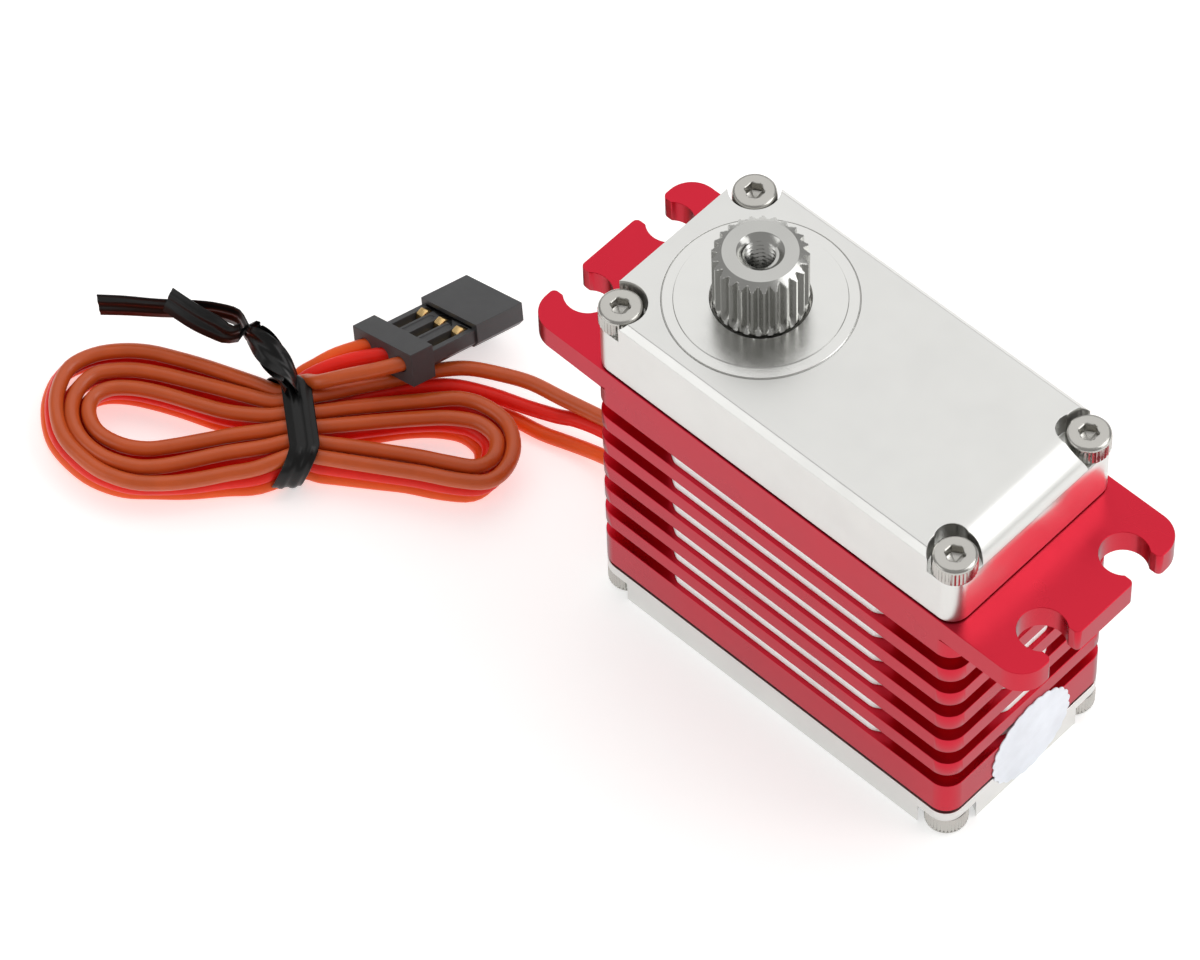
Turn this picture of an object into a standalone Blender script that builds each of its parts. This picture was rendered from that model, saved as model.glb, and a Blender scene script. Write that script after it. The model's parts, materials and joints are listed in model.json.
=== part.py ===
"""Standard-size servo motor in a machined three-part case, with its lead.

Metres, +Z up. The case's 40 mm length runs along X, its 20 mm width along Y, and the lower
cover stands on Z = 0. The output shaft is at the -X end, where the lead leaves as well.
"""

import math

import bmesh
import bpy
from mathutils import Matrix, Vector
from mathutils.geometry import tessellate_polygon

# Case
CASE_HALF_X = 0.0200
CASE_HALF_Y = 0.0100
CASE_CORNER = 0.0018
LOWER_COVER_TOP = 0.0034
MIDDLE_BOTTOM = 0.0038
MIDDLE_TOP = 0.0314
UPPER_COVER_BOTTOM = 0.03156
UPPER_COVER_TOP = 0.0390
UPPER_COVER_INSET = 0.00015
UPPER_END_ROUND = 0.0032
UPPER_EDGE_CHAMFER = 0.0006
BOSS_R = 0.0076
BOSS_HEIGHT = 0.0003
LABEL_CENTRE = (0.0004, 0.0049)
LABEL_SCALLOPS = 12
LABEL_GAP = 0.00003
LABEL_THICKNESS = 0.0001
LABEL_PEAK_R = 0.0048
LABEL_DIP_R = 0.0045

# Mounting lugs
LUG_HALF_X = 0.02743
LUG_BOTTOM = 0.02886
LUG_CORNER = 0.0025
LUG_HOLE_X = 0.0250
LUG_HOLE_Y = 0.0050
LUG_HOLE_R = 0.0021
LUG_SLOT_HALF = 0.00157
LUG_SLOT_FLARE = 0.0005

# Cooling grooves
GROOVE_TOPS = (0.0266, 0.02315, 0.0197, 0.0162, 0.0127, 0.00925)
GROOVE_HEIGHT = 0.00168
GROOVE_DEEP = 0.0013
GROOVE_SHALLOW = 0.0004
GROOVE_SIDE_FLAT = 0.0108
GROOVE_SIDE_RAMP = 0.0128
GROOVE_END_FLAT = 0.0020
GROOVE_END_RAMP = 0.0040
GROOVE_CORNER = 0.0010

# Inner spaces of the case
GEAR_BAY = (0.01875, 0.0086, 0.0060)
GEAR_FLOOR = 0.0300
GEAR_CEILING = 0.0357
BAY_TOP = 0.0263
BOARD_BAY_TOP = 0.0062
ELECTRONICS_BAY = (-0.0180, 0.0020, 0.0080)
ELECTRONICS_CORNER = 0.0030
LOWER_COVER_FLOOR = 0.0012
GROMMET_FACE, GROMMET_BACK = -0.0214, -0.0178
GROMMET_HALF_WIDTH, GROMMET_HALF_HEIGHT, GROMMET_CORNER = 0.0029, 0.0014, 0.0007
GROMMET_MIDDLE = 0.00372
GASKET_INSET = 0.0003
GASKET_GAP = 0.00003
GROMMET_NOTCH = (-0.0210, -0.0176, 0.0031)
GROMMET_NOTCH_LOW, GROMMET_NOTCH_HIGH = 0.0021, 0.00535
PAST = 0.001
LOWER_COVER_BAY = (0.0175, 0.0080, 0.0060)

# Partition between the motor bay and the gear bay
OUTPUT_SEAT_R = 0.00405
OUTPUT_SEAT_BOTTOM = 0.0270
OUTPUT_HOLE_R = 0.0024
MOTOR_HOLE_R = 0.0023
AXLE_SOCKET_BOTTOM = 0.0275
AXLE_SOCKET_TOP = 0.0373
MOTOR_SCREW_OFFSET = 0.0055
MOTOR_SCREW_HOLE_R = 0.00105
MOTOR_SCREW_SINK_R = 0.0021
MOTOR_SCREW_SINK_DEPTH = 0.00125
REACH = 0.0005

# Screws, M2 socket heads
SCREW_X = 0.01822
SCREW_Y = 0.00806
SCREW_HEAD_R = 0.0019
SCREW_HEAD_HEIGHT = 0.0020
SCREW_SHANK_R = 0.00095
SCREW_HOLE_R = 0.00115
HEX_R = 0.00087
HEX_DEPTH = 0.0010
HEX_OVERLAP = 0.0002
UPPER_POCKET_R = 0.00225
UPPER_POCKET_FLOOR = 0.03668
UPPER_HEAD_TOP = 0.03869
UPPER_SHANK = 0.0088
LOWER_POCKET_R = 0.00245
LOWER_POCKET_TOP = 0.00225
LOWER_HEAD_BOTTOM = 0.00015
LOWER_SHANK = 0.0046
UPPER_THREAD_BOTTOM = 0.0272
LOWER_THREAD_TOP = 0.0072

# Axes of the gear train, all on Y = 0
OUTPUT_X = -0.0101
GEAR_AXLE_X = 0.0004
MOTOR_X = 0.00985

# Gear train: module, wheel teeth, pinion teeth, and the heights of each meshing level
PRESSURE_ANGLE = math.radians(25)
BACKLASH = 0.00005
WHEEL_ADDENDUM, WHEEL_DEDENDUM = 0.8, 1.25
PINION_ADDENDUM, PINION_DEDENDUM = 1.0, 1.05
STAGES = (
    {"module": 0.00030, "pinion": 10, "wheel": 53, "low": 0.0302, "high": 0.0311},
    {"module": 0.00030, "pinion": 16, "wheel": 54, "low": 0.0313, "high": 0.0323},
    {"module": 0.00035, "pinion": 18, "wheel": 42, "low": 0.0325, "high": 0.0336},
    {"module": 0.00042, "pinion": 12, "wheel": 38, "low": 0.0338, "high": 0.0354},
)
AXLE_R = 0.00075
PRESS_GAP = 0.00002
AXLE_CLEARANCE = 0.00004
BEARING_GAP = 0.00003
AXLE_SIDES, STEM_SIDES, HUB_SIDES = 12, 24, 16
AXLE_HUB_R, STEM_HUB_R = 0.0015, 0.0027
HUB_SINK = 0.0002
AXLE = (0.0276, 0.0371)

# Output shaft
STEM_R = 0.0020
SEAT_R = 0.0025
SHAFT_R = 0.00398
SPLINE_TEETH = 25
SPLINE_TIP_R = 0.0040
SPLINE_ROOT_R = 0.00356
SPLINE_BOTTOM = 0.0394
SPLINE_TOP = 0.04532
SPLINE_CHAMFER = 0.0004
SHAFT_HOLE_R = 0.004165
HORN_BORE_R = 0.00125
HORN_BORE_MOUTH_R = 0.0020
HORN_BORE_MOUTH_DEPTH = 0.0007
HORN_BORE_BOTTOM = 0.0366
POT_SHAFT_R = 0.0012
STEM_BOTTOM = 0.02705
STEM_SOCKET_TOP = 0.0300
GEAR_SEAT = (0.0337, 0.0355)
JOURNAL_TOP = 0.0388
NECK_BOTTOM = 0.0390
OUTPUT_BEARING_R = 0.0060
OUTPUT_BEARING = (0.0356, 0.0381)
STEM_BEARING_R = 0.0040
STEM_BEARING = (STEM_BOTTOM, 0.0299)

# Motor
CAN_R = 0.0082
CAN_BOTTOM = 0.0065
CAN_TOP = 0.0260
CAN_WALL = 0.0006
CAN_CLEARANCE = 0.00015
MOTOR_BEARING_R = 0.0020
MOTOR_BEARING_SEAT_R = 0.00205
MOTOR_BEARING_BOSS_R = 0.0026
FRONT_BEARING = (0.0242, 0.0262)
REAR_BEARING = (0.0066, 0.0082)
STATOR = (0.0062, 0.0075, 0.0095, 0.0228)
WINDING = (0.0041, 0.0061, 0.0087, 0.0236)
ROTOR_SHAFT_R = 0.00075
ROTOR_SHAFT = (0.0064, 0.0311)
MAGNET_R = 0.0036
MAGNET = (0.0100, 0.0224)
MOTOR_SCREW_HEAD_R, MOTOR_SCREW_SHANK_R = 0.0018, 0.0009
MOTOR_SCREW_HEIGHTS = (0.0262, 0.02885, 0.0298)
MOTOR_LEAD_R = 0.0004
MOTOR_LEAD_PLACES = ((0.0050, -0.0030), (0.0040, 0.0), (0.0050, 0.0030))

# Position sensor, circuit board and what is on it
SENSOR_R, SENSOR_BORE_R = 0.0045, 0.00145
SENSOR_HEIGHTS = (0.0190, 0.0205, 0.0258)
SENSOR_SHAFT = (0.0208, 0.0297)
BOARD = (0.0170, 0.0074, 0.0048)
BOARD_HEIGHTS = (0.0041, 0.0050)
CHIP_HEIGHTS = (0.0028, 0.0038)
CHIPS = {
    "microcontroller": (-0.0105, -0.0055, -0.0035, 0.0015),
    "motor_driver": (0.0025, 0.0085, -0.0025, 0.0025),
}
CAPACITOR_CENTRE = (-0.0145, 0.0042)
CAPACITOR_R = 0.0025
CAPACITOR = (0.0053, 0.0120)

# Lead
WIRE_R = 0.00068
WIRE_PITCH = 0.00145
HANK_BOTTOM = 0.0005
HANK_TOP = 0.0043
FIT_GAP = 0.0003

# Routes of the three wires between the case and the hank: brown above, red, orange below
SERVO_LEAD = {
    "brown": (
        (-0.0217, 0.00145, 0.0037), (-0.0240, 0.0015, 0.0038), (-0.0270, 0.0013, 0.0039),
        (-0.0305, 0.0008, 0.0037), (-0.0341, 0.0004, 0.0035), (-0.0373, -0.0002, 0.0035),
        (-0.0399, -0.0014, 0.0035), (-0.0420, -0.0030, 0.0035), (-0.0436, -0.0048, 0.0035),
        (-0.0449, -0.0066, 0.0035), (-0.0462, -0.0088, 0.0035), (-0.0476, -0.0109, 0.0035),
        (-0.0486, -0.0125, 0.0035), (-0.0493, -0.0136, 0.0035),
    ),
    "red": (
        (-0.0217, 0.0, 0.0037), (-0.0250, 0.0, 0.0032), (-0.0285, -0.0001, 0.0026),
        (-0.0315, -0.0005, 0.0022), (-0.0335, -0.0010, 0.0021), (-0.0366, -0.0019, 0.0021),
        (-0.0395, -0.0029, 0.0021), (-0.0421, -0.0045, 0.0021), (-0.0440, -0.0062, 0.0021),
        (-0.0454, -0.0079, 0.0021), (-0.0466, -0.0096, 0.0021), (-0.0479, -0.0115, 0.0021),
        (-0.0488, -0.0127, 0.0021), (-0.0495, -0.0137, 0.0021),
    ),
    "orange": (
        (-0.0217, -0.00145, 0.0037), (-0.0240, -0.00145, 0.0026), (-0.0265, -0.0015, 0.0012),
        (-0.0285, -0.0017, 0.00075), (-0.0310, -0.0021, 0.0007), (-0.0340, -0.0026, 0.0007),
        (-0.0371, -0.0032, 0.0007), (-0.0398, -0.0042, 0.0007), (-0.0422, -0.0056, 0.0007),
        (-0.0441, -0.0071, 0.0007), (-0.0457, -0.0088, 0.0007), (-0.0472, -0.0107, 0.0007),
        (-0.0484, -0.0124, 0.0007), (-0.0493, -0.0135, 0.0007),
    ),
}

# Outer shape of the hank, anticlockwise from where the two lead ends leave it
HANK_OUTLINE = (
    (-0.0518, -0.0142), (-0.0540, -0.0152), (-0.0566, -0.0163), (-0.0592, -0.0170),
    (-0.0622, -0.0177), (-0.0650, -0.0191), (-0.0675, -0.0215), (-0.0697, -0.0246),
    (-0.0704, -0.0277), (-0.0693, -0.0306), (-0.0667, -0.0330), (-0.0634, -0.0343),
    (-0.0600, -0.0346), (-0.0568, -0.0341), (-0.0541, -0.0325), (-0.0519, -0.0302),
    (-0.0499, -0.0273), (-0.0481, -0.0244), (-0.0467, -0.0220), (-0.0451, -0.0202),
    (-0.0422, -0.0185), (-0.0392, -0.0168), (-0.0364, -0.0152), (-0.0338, -0.0137),
    (-0.0316, -0.0115), (-0.0312, -0.0083), (-0.0326, -0.0058), (-0.0352, -0.0044),
    (-0.0384, -0.0044), (-0.0410, -0.0056), (-0.0431, -0.0078), (-0.0453, -0.0103),
    (-0.0476, -0.0127), (-0.0498, -0.0151),
)

# Connector: its rear lower edge's middle, and its three directions as it leans on the lead
CONNECTOR_ORIGIN = (-0.04662, -0.00817, 0.00451)
CONNECTOR_WIDTH_AXIS = Vector((0.927, -0.020, 0.375))
CONNECTOR_LENGTH_AXIS = Vector((0.121, 0.960, -0.248))
CONTACT_PITCH = 0.0024
CONNECTOR_LENGTH = 0.0122
CONNECTOR_HALF_WIDTH = 0.0037
CONNECTOR_HEIGHT = 0.0025
CONNECTOR_CHAMFER = 0.0007
FLANGE_LENGTH = 0.0025
FLANGE_HALF_WIDTH = 0.0041
FLANGE_LOW = -0.0003
FLANGE_HIGH = 0.0029
WINDOW_START = FLANGE_LENGTH + 0.0004
WINDOW_END = 0.0073
WINDOW_HALF = 0.0008
WINDOW_FLOOR = 0.0013
SOCKET_HALF = 0.0005
SOCKET_HEIGHTS = (0.0008, 0.0018)
SOCKET_WALL = 0.0009
CONTACT_GAP = 0.0001
CONTACT_HEIGHT = 0.0006
WIRE_AXIS_HEIGHT = 0.00125
PLUG_LEAD_STRAIGHT = 0.0020

PLUG_LEAD = {
    "brown": ((-0.0514, -0.0138, 0.00375), (-0.0498, -0.0132, 0.0049), (-0.0477, -0.0119, 0.0061)),
    "red": ((-0.0512, -0.0136, 0.0022), (-0.0508, -0.0124, 0.0034), (-0.0493, -0.0112, 0.0050)),
    "orange": ((-0.0513, -0.0133, 0.0007), (-0.0521, -0.0122, 0.0018), (-0.0512, -0.0110, 0.0037)),
}

# Tie round the hank's waist: its middle, the direction along the hank, and its half sizes
TIE_CENTRE = Vector((-0.0490, -0.0177, 0.00245))
TIE_ALONG = Vector((0.67, 0.74, 0.0)).normalized()
TIE_HALF_WIDTH = 0.0013
TIE_HALF_SPAN = 0.0059
TIE_HALF_HEIGHT = 0.0024
TIE_THICKNESS = 0.0003
TIE_CORNER = 0.0007


# ---------------------------------------------------------------- outlines

def arc(centre, radius, start, end, steps):
    """Points from one angle to another, in degrees, both ends included."""
    angles = (math.radians(start + (end - start) * i / steps) for i in range(steps + 1))
    return [(centre[0] + radius * math.cos(a), centre[1] + radius * math.sin(a)) for a in angles]


def circle(radius, count, centre=(0.0, 0.0)):
    return arc(centre, radius, 0, 360, count)[:-1]


def rounded_rectangle(half_x, half_y, radius, steps=4, centre=(0.0, 0.0)):
    x, y = half_x - radius, half_y - radius
    outline = []
    for sign_x, sign_y, start in ((1, 1, 0), (-1, 1, 90), (-1, -1, 180), (1, -1, 270)):
        corner = (centre[0] + sign_x * x, centre[1] + sign_y * y)
        outline += arc(corner, radius, start, start + 90, steps)
    return outline


def box_outline(low_x, high_x, low_y, high_y):
    return [(low_x, low_y), (high_x, low_y), (high_x, high_y), (low_x, high_y)]


def gear_outline(module, teeth, phase, addendum, dedendum, flank_steps):
    """Involute teeth, thinned by the backlash, with a tooth's middle at the phase angle."""
    pitch_r = module * teeth / 2
    base_r = pitch_r * math.cos(PRESSURE_ANGLE)
    tip_r = pitch_r + addendum * module
    root_r = pitch_r - dedendum * module

    def involute(angle):
        return math.tan(angle) - angle

    half_pitch = math.pi / (2 * teeth) - BACKLASH / (2 * pitch_r) + involute(PRESSURE_ANGLE)
    start_r = max(base_r, root_r)
    flank = []
    for i in range(flank_steps + 1):
        r = start_r + (tip_r - start_r) * i / flank_steps
        flank.append((r, half_pitch - involute(math.acos(base_r / r))))
    if root_r < base_r:
        flank.insert(0, (root_r, flank[0][1]))
    points = []
    for tooth in range(teeth):
        middle = phase + 2 * math.pi * tooth / teeth
        points += [(r * math.cos(middle - half), r * math.sin(middle - half)) for r, half in flank]
        points += [(r * math.cos(middle + half), r * math.sin(middle + half)) for r, half in flank[::-1]]
    return points


def smooth_open(points, steps):
    """An open curve through the points, ending on the first and the last of them."""
    ends = [points[0], *points, points[-1]]
    result = []
    for i in range(len(points) - 1):
        p0, p1, p2, p3 = ends[i:i + 4]
        for step in range(steps):
            t = step / steps
            result.append(tuple(catmull_rom(a, b, c, d, t) for a, b, c, d in zip(p0, p1, p2, p3)))
    return result + [points[-1]]


def catmull_rom(a, b, c, d, t):
    quadratic = 2 * a - 5 * b + 4 * c - d
    cubic = 3 * b - a - 3 * c + d
    return 0.5 * (2 * b + (c - a) * t + quadratic * t ** 2 + cubic * t ** 3)


# ---------------------------------------------------------------- solids

PLACES = {
    "X": lambda u, v, w: (w, u, v),
    "Y": lambda u, v, w: (u, w, v),
    "Z": lambda u, v, w: (u, v, w),
}


def add_prism(bm, outline, low, high, holes=(), along="Z"):
    """A closed solid between two planes, from an outline and the outlines of its holes."""
    place = PLACES[along]
    loops = [list(outline), *[list(hole) for hole in holes]]
    flat = [point for loop in loops for point in loop]
    bottom = [bm.verts.new(place(u, v, low)) for u, v in flat]
    top = [bm.verts.new(place(u, v, high)) for u, v in flat]
    for triangle in tessellate_polygon([[Vector((u, v, 0.0)) for u, v in loop] for loop in loops]):
        bm.faces.new([bottom[i] for i in triangle])
        bm.faces.new([top[i] for i in triangle])
    start = 0
    for loop in loops:
        count = len(loop)
        for i in range(count):
            a, b = start + i, start + (i + 1) % count
            bm.faces.new((bottom[a], bottom[b], top[b], top[a]))
        start += count


def add_lathe(bm, profile, segments, centre=(0.0, 0.0)):
    """A closed profile of (radius, height) turned about a vertical axis."""
    rings = []
    for radius, height in profile:
        if radius == 0:
            rings.append([bm.verts.new((centre[0], centre[1], height))] * segments)
        else:
            rings.append([bm.verts.new((x, y, height)) for x, y in circle(radius, segments, centre)])
    count = len(profile)
    for i in range(count):
        first, second = rings[i], rings[(i + 1) % count]
        if profile[i][0] == 0 and profile[(i + 1) % count][0] == 0:
            continue
        for k in range(segments):
            corners = [first[k], first[(k + 1) % segments], second[(k + 1) % segments], second[k]]
            bm.faces.new(list(dict.fromkeys(corners)))


def add_loft(bm, rings):
    """Rings of equal counts, each a list of (x, y, z), skinned in order and capped at both ends."""
    loops = [[bm.verts.new(point) for point in ring] for ring in rings]
    count = len(loops[0])
    for first, second in zip(loops, loops[1:]):
        for k in range(count):
            bm.faces.new((first[k], first[(k + 1) % count], second[(k + 1) % count], second[k]))
    bm.faces.new(loops[0])
    bm.faces.new(loops[-1])


def finish(name, bm, material, origin=(0.0, 0.0, 0.0), sharp=30):
    """Makes the object, with its origin at a point of the frame, such as its joint's axis."""
    bmesh.ops.recalc_face_normals(bm, faces=bm.faces)
    mesh = bpy.data.meshes.new(name)
    bm.to_mesh(mesh)
    bm.free()
    mesh.transform(Matrix.Translation(-Vector(origin)))
    mesh.shade_smooth()
    mesh.set_sharp_from_angle(angle=math.radians(sharp))
    obj = bpy.data.objects.new(name, mesh)
    obj.location = origin
    bpy.context.collection.objects.link(obj)
    if material:
        mesh.materials.append(material)
    return obj


def prism(name, outline, low, high, material=None, holes=(), along="Z", origin=(0.0, 0.0, 0.0)):
    bm = bmesh.new()
    add_prism(bm, outline, low, high, holes, along)
    return finish(name, bm, material, origin)


def lathe(name, profile, segments, material=None, centre=(0.0, 0.0), origin=(0.0, 0.0, 0.0)):
    bm = bmesh.new()
    add_lathe(bm, profile, segments, centre)
    return finish(name, bm, material, origin)


def combine(target, tool, operation):
    """Adds or subtracts a hidden tool object."""
    tool.hide_render = True
    tool.display_type = "WIRE"
    modifier = target.modifiers.new(tool.name, "BOOLEAN")
    modifier.operation = operation
    modifier.solver = "EXACT"
    modifier.object = tool


def subtract(target, tool):
    combine(target, tool, "DIFFERENCE")


def unite(target, tool):
    combine(target, tool, "UNION")


def wire(name, points, radius, material):
    """A plain tube along a route."""
    curve = bpy.data.curves.new(name, "CURVE")
    curve.dimensions = "3D"
    curve.bevel_depth = radius
    curve.bevel_resolution = 2
    curve.use_fill_caps = True
    spline = curve.splines.new("POLY")
    spline.points.add(len(points) - 1)
    for point, place in zip(spline.points, points):
        point.co = (*place, 1.0)
    curve.materials.append(material)
    obj = bpy.data.objects.new(name, curve)
    bpy.context.collection.objects.link(obj)
    return obj


def make_material(name, colour, roughness, metallic):
    material = bpy.data.materials.new(name)
    material.use_nodes = True
    shader = material.node_tree.nodes["Principled BSDF"]
    shader.inputs["Base Color"].default_value = (*colour, 1.0)
    shader.inputs["Roughness"].default_value = roughness
    shader.inputs["Metallic"].default_value = metallic
    return material


def make_materials():
    table = {
        "red_anodised": ((0.60, 0.02, 0.06), 0.35, 0.8),
        "machined_aluminium": ((0.75, 0.75, 0.73), 0.30, 1.0),
        "stainless_steel": ((0.55, 0.55, 0.54), 0.28, 1.0),
        "gear_steel": ((0.42, 0.42, 0.43), 0.32, 1.0),
        "black_rubber": ((0.02, 0.02, 0.02), 0.80, 0.0),
        "black_plastic": ((0.03, 0.03, 0.03), 0.45, 0.0),
        "label_white": ((0.85, 0.87, 0.90), 0.40, 0.0),
        "board_green": ((0.02, 0.16, 0.07), 0.50, 0.0),
        "chip_black": ((0.02, 0.02, 0.02), 0.55, 0.0),
        "magnet_dark": ((0.16, 0.16, 0.17), 0.35, 1.0),
        "lamination_steel": ((0.30, 0.30, 0.31), 0.45, 1.0),
        "copper": ((0.72, 0.30, 0.12), 0.30, 1.0),
        "wire_brown": ((0.30, 0.065, 0.02), 0.40, 0.0),
        "wire_red": ((0.75, 0.02, 0.01), 0.40, 0.0),
        "wire_orange": ((0.90, 0.10, 0.01), 0.40, 0.0),
        "gold": ((0.80, 0.52, 0.20), 0.30, 1.0),
    }
    return {name: make_material(name, *values) for name, values in table.items()}


# ---------------------------------------------------------------- case

def screw_places():
    return [(sx * SCREW_X, sy * SCREW_Y) for sx in (-1, 1) for sy in (-1, 1)]


def corner_cutter(name, radius, low, high, segments):
    bm = bmesh.new()
    for centre in screw_places():
        add_prism(bm, circle(radius, segments, centre), low, high)
    return finish(name, bm, None)


def lug_slots():
    """Four keyhole slots, each open towards the end of its lug."""
    bm = bmesh.new()
    half_angle = math.degrees(math.asin(LUG_SLOT_HALF / LUG_HOLE_R))
    mouth = LUG_HALF_X - LUG_HOLE_X
    past = mouth + PAST
    wide = LUG_SLOT_HALF + LUG_SLOT_FLARE + PAST
    keyhole = arc((0.0, 0.0), LUG_HOLE_R, half_angle, 360 - half_angle, 14)
    keyhole += [
        (mouth - LUG_SLOT_FLARE, -LUG_SLOT_HALF),
        (past, -wide),
        (past, wide),
        (mouth - LUG_SLOT_FLARE, LUG_SLOT_HALF),
    ]
    for sign_x in (-1, 1):
        for sign_y in (-1, 1):
            placed = [(sign_x * (LUG_HOLE_X + x), sign_y * LUG_HOLE_Y + y) for x, y in keyhole]
            add_prism(bm, placed, LUG_BOTTOM - PAST, MIDDLE_TOP + PAST)
    return finish("lug_slot_cutter", bm, None)


def groove_floor():
    """Plan of the grooves' floor: shallow in the middle of each side, deep near the corners."""
    side, side_deep = CASE_HALF_Y - GROOVE_SHALLOW, CASE_HALF_Y - GROOVE_DEEP
    end, end_deep = CASE_HALF_X - GROOVE_SHALLOW, CASE_HALF_X - GROOVE_DEEP
    corner = (end_deep - GROOVE_CORNER, side_deep - GROOVE_CORNER)
    quarter = [(end, GROOVE_END_FLAT), (end_deep, GROOVE_END_RAMP)]
    quarter += arc(corner, GROOVE_CORNER, 0, 90, 3)
    quarter += [(GROOVE_SIDE_RAMP, side_deep), (GROOVE_SIDE_FLAT, side)]
    mirrored = [(-x, y) for x, y in reversed(quarter)]
    upper = quarter + mirrored
    return upper + [(x, -y) for x, y in reversed(upper)]


def groove_cutter():
    bm = bmesh.new()
    x, y = CASE_HALF_X + PAST, CASE_HALF_Y + PAST
    outer = box_outline(-x, x, -y, y)
    for top in GROOVE_TOPS:
        add_prism(bm, outer, top - GROOVE_HEIGHT, top, holes=[groove_floor()])
    return finish("groove_cutter", bm, None)


def grommet_notch(name, low, high):
    low_x, high_x, half_y = GROMMET_NOTCH
    return prism(name, box_outline(low_x, high_x, -half_y, half_y), low, high)


def bay_cutter(name, bay, low, high):
    half_x, half_y, corner = bay
    return prism(name, rounded_rectangle(half_x, half_y, corner, 5), low, high)


def middle_case(materials):
    case = prism(
        "middle_case", rounded_rectangle(CASE_HALF_X, CASE_HALF_Y, CASE_CORNER),
        MIDDLE_BOTTOM, MIDDLE_TOP - 0.0002, materials["red_anodised"],
    )
    lug_outline = rounded_rectangle(LUG_HALF_X, CASE_HALF_Y, LUG_CORNER)
    unite(case, prism("lug_plate", lug_outline, LUG_BOTTOM, MIDDLE_TOP))
    subtract(case, lug_slots())
    subtract(case, groove_cutter())
    subtract(case, bay_cutter("gear_bay_cutter", GEAR_BAY, GEAR_FLOOR, MIDDLE_TOP + PAST))
    low_x, high_x, half_y = ELECTRONICS_BAY
    bay = rounded_rectangle((high_x - low_x) / 2, half_y, ELECTRONICS_CORNER, 4, ((low_x + high_x) / 2, 0.0))
    subtract(case, prism("electronics_bay_cutter", bay, MIDDLE_BOTTOM - PAST, BAY_TOP))
    motor_bay = circle(CAN_R + CAN_CLEARANCE, 40, (MOTOR_X, 0.0))
    subtract(case, prism("motor_bay_cutter", motor_bay, MIDDLE_BOTTOM - PAST, BAY_TOP))
    subtract(case, bay_cutter("board_bay_cutter", LOWER_COVER_BAY, MIDDLE_BOTTOM - 1.5 * PAST, BOARD_BAY_TOP))
    for cutter in partition_cutters():
        subtract(case, cutter)
    for name, low, high in (
        ("upper_thread_cutter", UPPER_THREAD_BOTTOM, MIDDLE_TOP + PAST),
        ("lower_thread_cutter", MIDDLE_BOTTOM - PAST, LOWER_THREAD_TOP),
    ):
        subtract(case, corner_cutter(name, SCREW_HOLE_R, low, high, 12))
    subtract(case, grommet_notch("middle_notch_cutter", MIDDLE_BOTTOM - PAST, GROMMET_NOTCH_HIGH))


def partition_cutters():
    """Seats and holes in the partition, then the short steps that join them."""
    output, motor_axis = (OUTPUT_X, 0.0), (MOTOR_X, 0.0)
    screws = [(MOTOR_X, sign * MOTOR_SCREW_OFFSET) for sign in (-1, 1)]
    above, below = GEAR_FLOOR + REACH, BAY_TOP - REACH
    sink_bottom = GEAR_FLOOR - MOTOR_SCREW_SINK_DEPTH
    seats, steps = bmesh.new(), bmesh.new()
    add_prism(seats, circle(OUTPUT_SEAT_R, 24, output), OUTPUT_SEAT_BOTTOM, above)
    add_prism(seats, circle(OUTPUT_HOLE_R, 20, output), below, OUTPUT_SEAT_BOTTOM - 0.2 * REACH)
    add_prism(seats, circle(MOTOR_HOLE_R, 20, motor_axis), below, above)
    axle_socket = circle(AXLE_R + AXLE_CLEARANCE, AXLE_SIDES, (GEAR_AXLE_X, 0.0))
    add_prism(seats, axle_socket, AXLE_SOCKET_BOTTOM, above)
    add_prism(steps, circle(OUTPUT_HOLE_R, 20, output), OUTPUT_SEAT_BOTTOM - REACH, OUTPUT_SEAT_BOTTOM + REACH)
    for screw in screws:
        add_prism(seats, circle(MOTOR_SCREW_HOLE_R, 12, screw), below, sink_bottom - 0.1 * REACH)
        add_prism(seats, circle(MOTOR_SCREW_SINK_R, 14, screw), sink_bottom, above)
        add_prism(steps, circle(MOTOR_SCREW_HOLE_R, 12, screw), sink_bottom - REACH, sink_bottom + 0.5 * REACH)
    return [finish("partition_seat_cutter", seats, None), finish("partition_step_cutter", steps, None)]


def lower_cover(materials):
    cover = prism(
        "lower_cover", rounded_rectangle(CASE_HALF_X, CASE_HALF_Y, CASE_CORNER),
        0.0, LOWER_COVER_TOP, materials["machined_aluminium"],
    )
    above = LOWER_COVER_TOP + PAST
    subtract(cover, bay_cutter("lower_bay_cutter", LOWER_COVER_BAY, LOWER_COVER_FLOOR, above))
    subtract(cover, corner_cutter("lower_pocket_cutter", LOWER_POCKET_R, -PAST, LOWER_POCKET_TOP, 20))
    subtract(cover, corner_cutter("lower_hole_cutter", SCREW_HOLE_R, LOWER_POCKET_TOP - REACH, above, 12))
    subtract(cover, grommet_notch("lower_notch_cutter", GROMMET_NOTCH_LOW, above))


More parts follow.
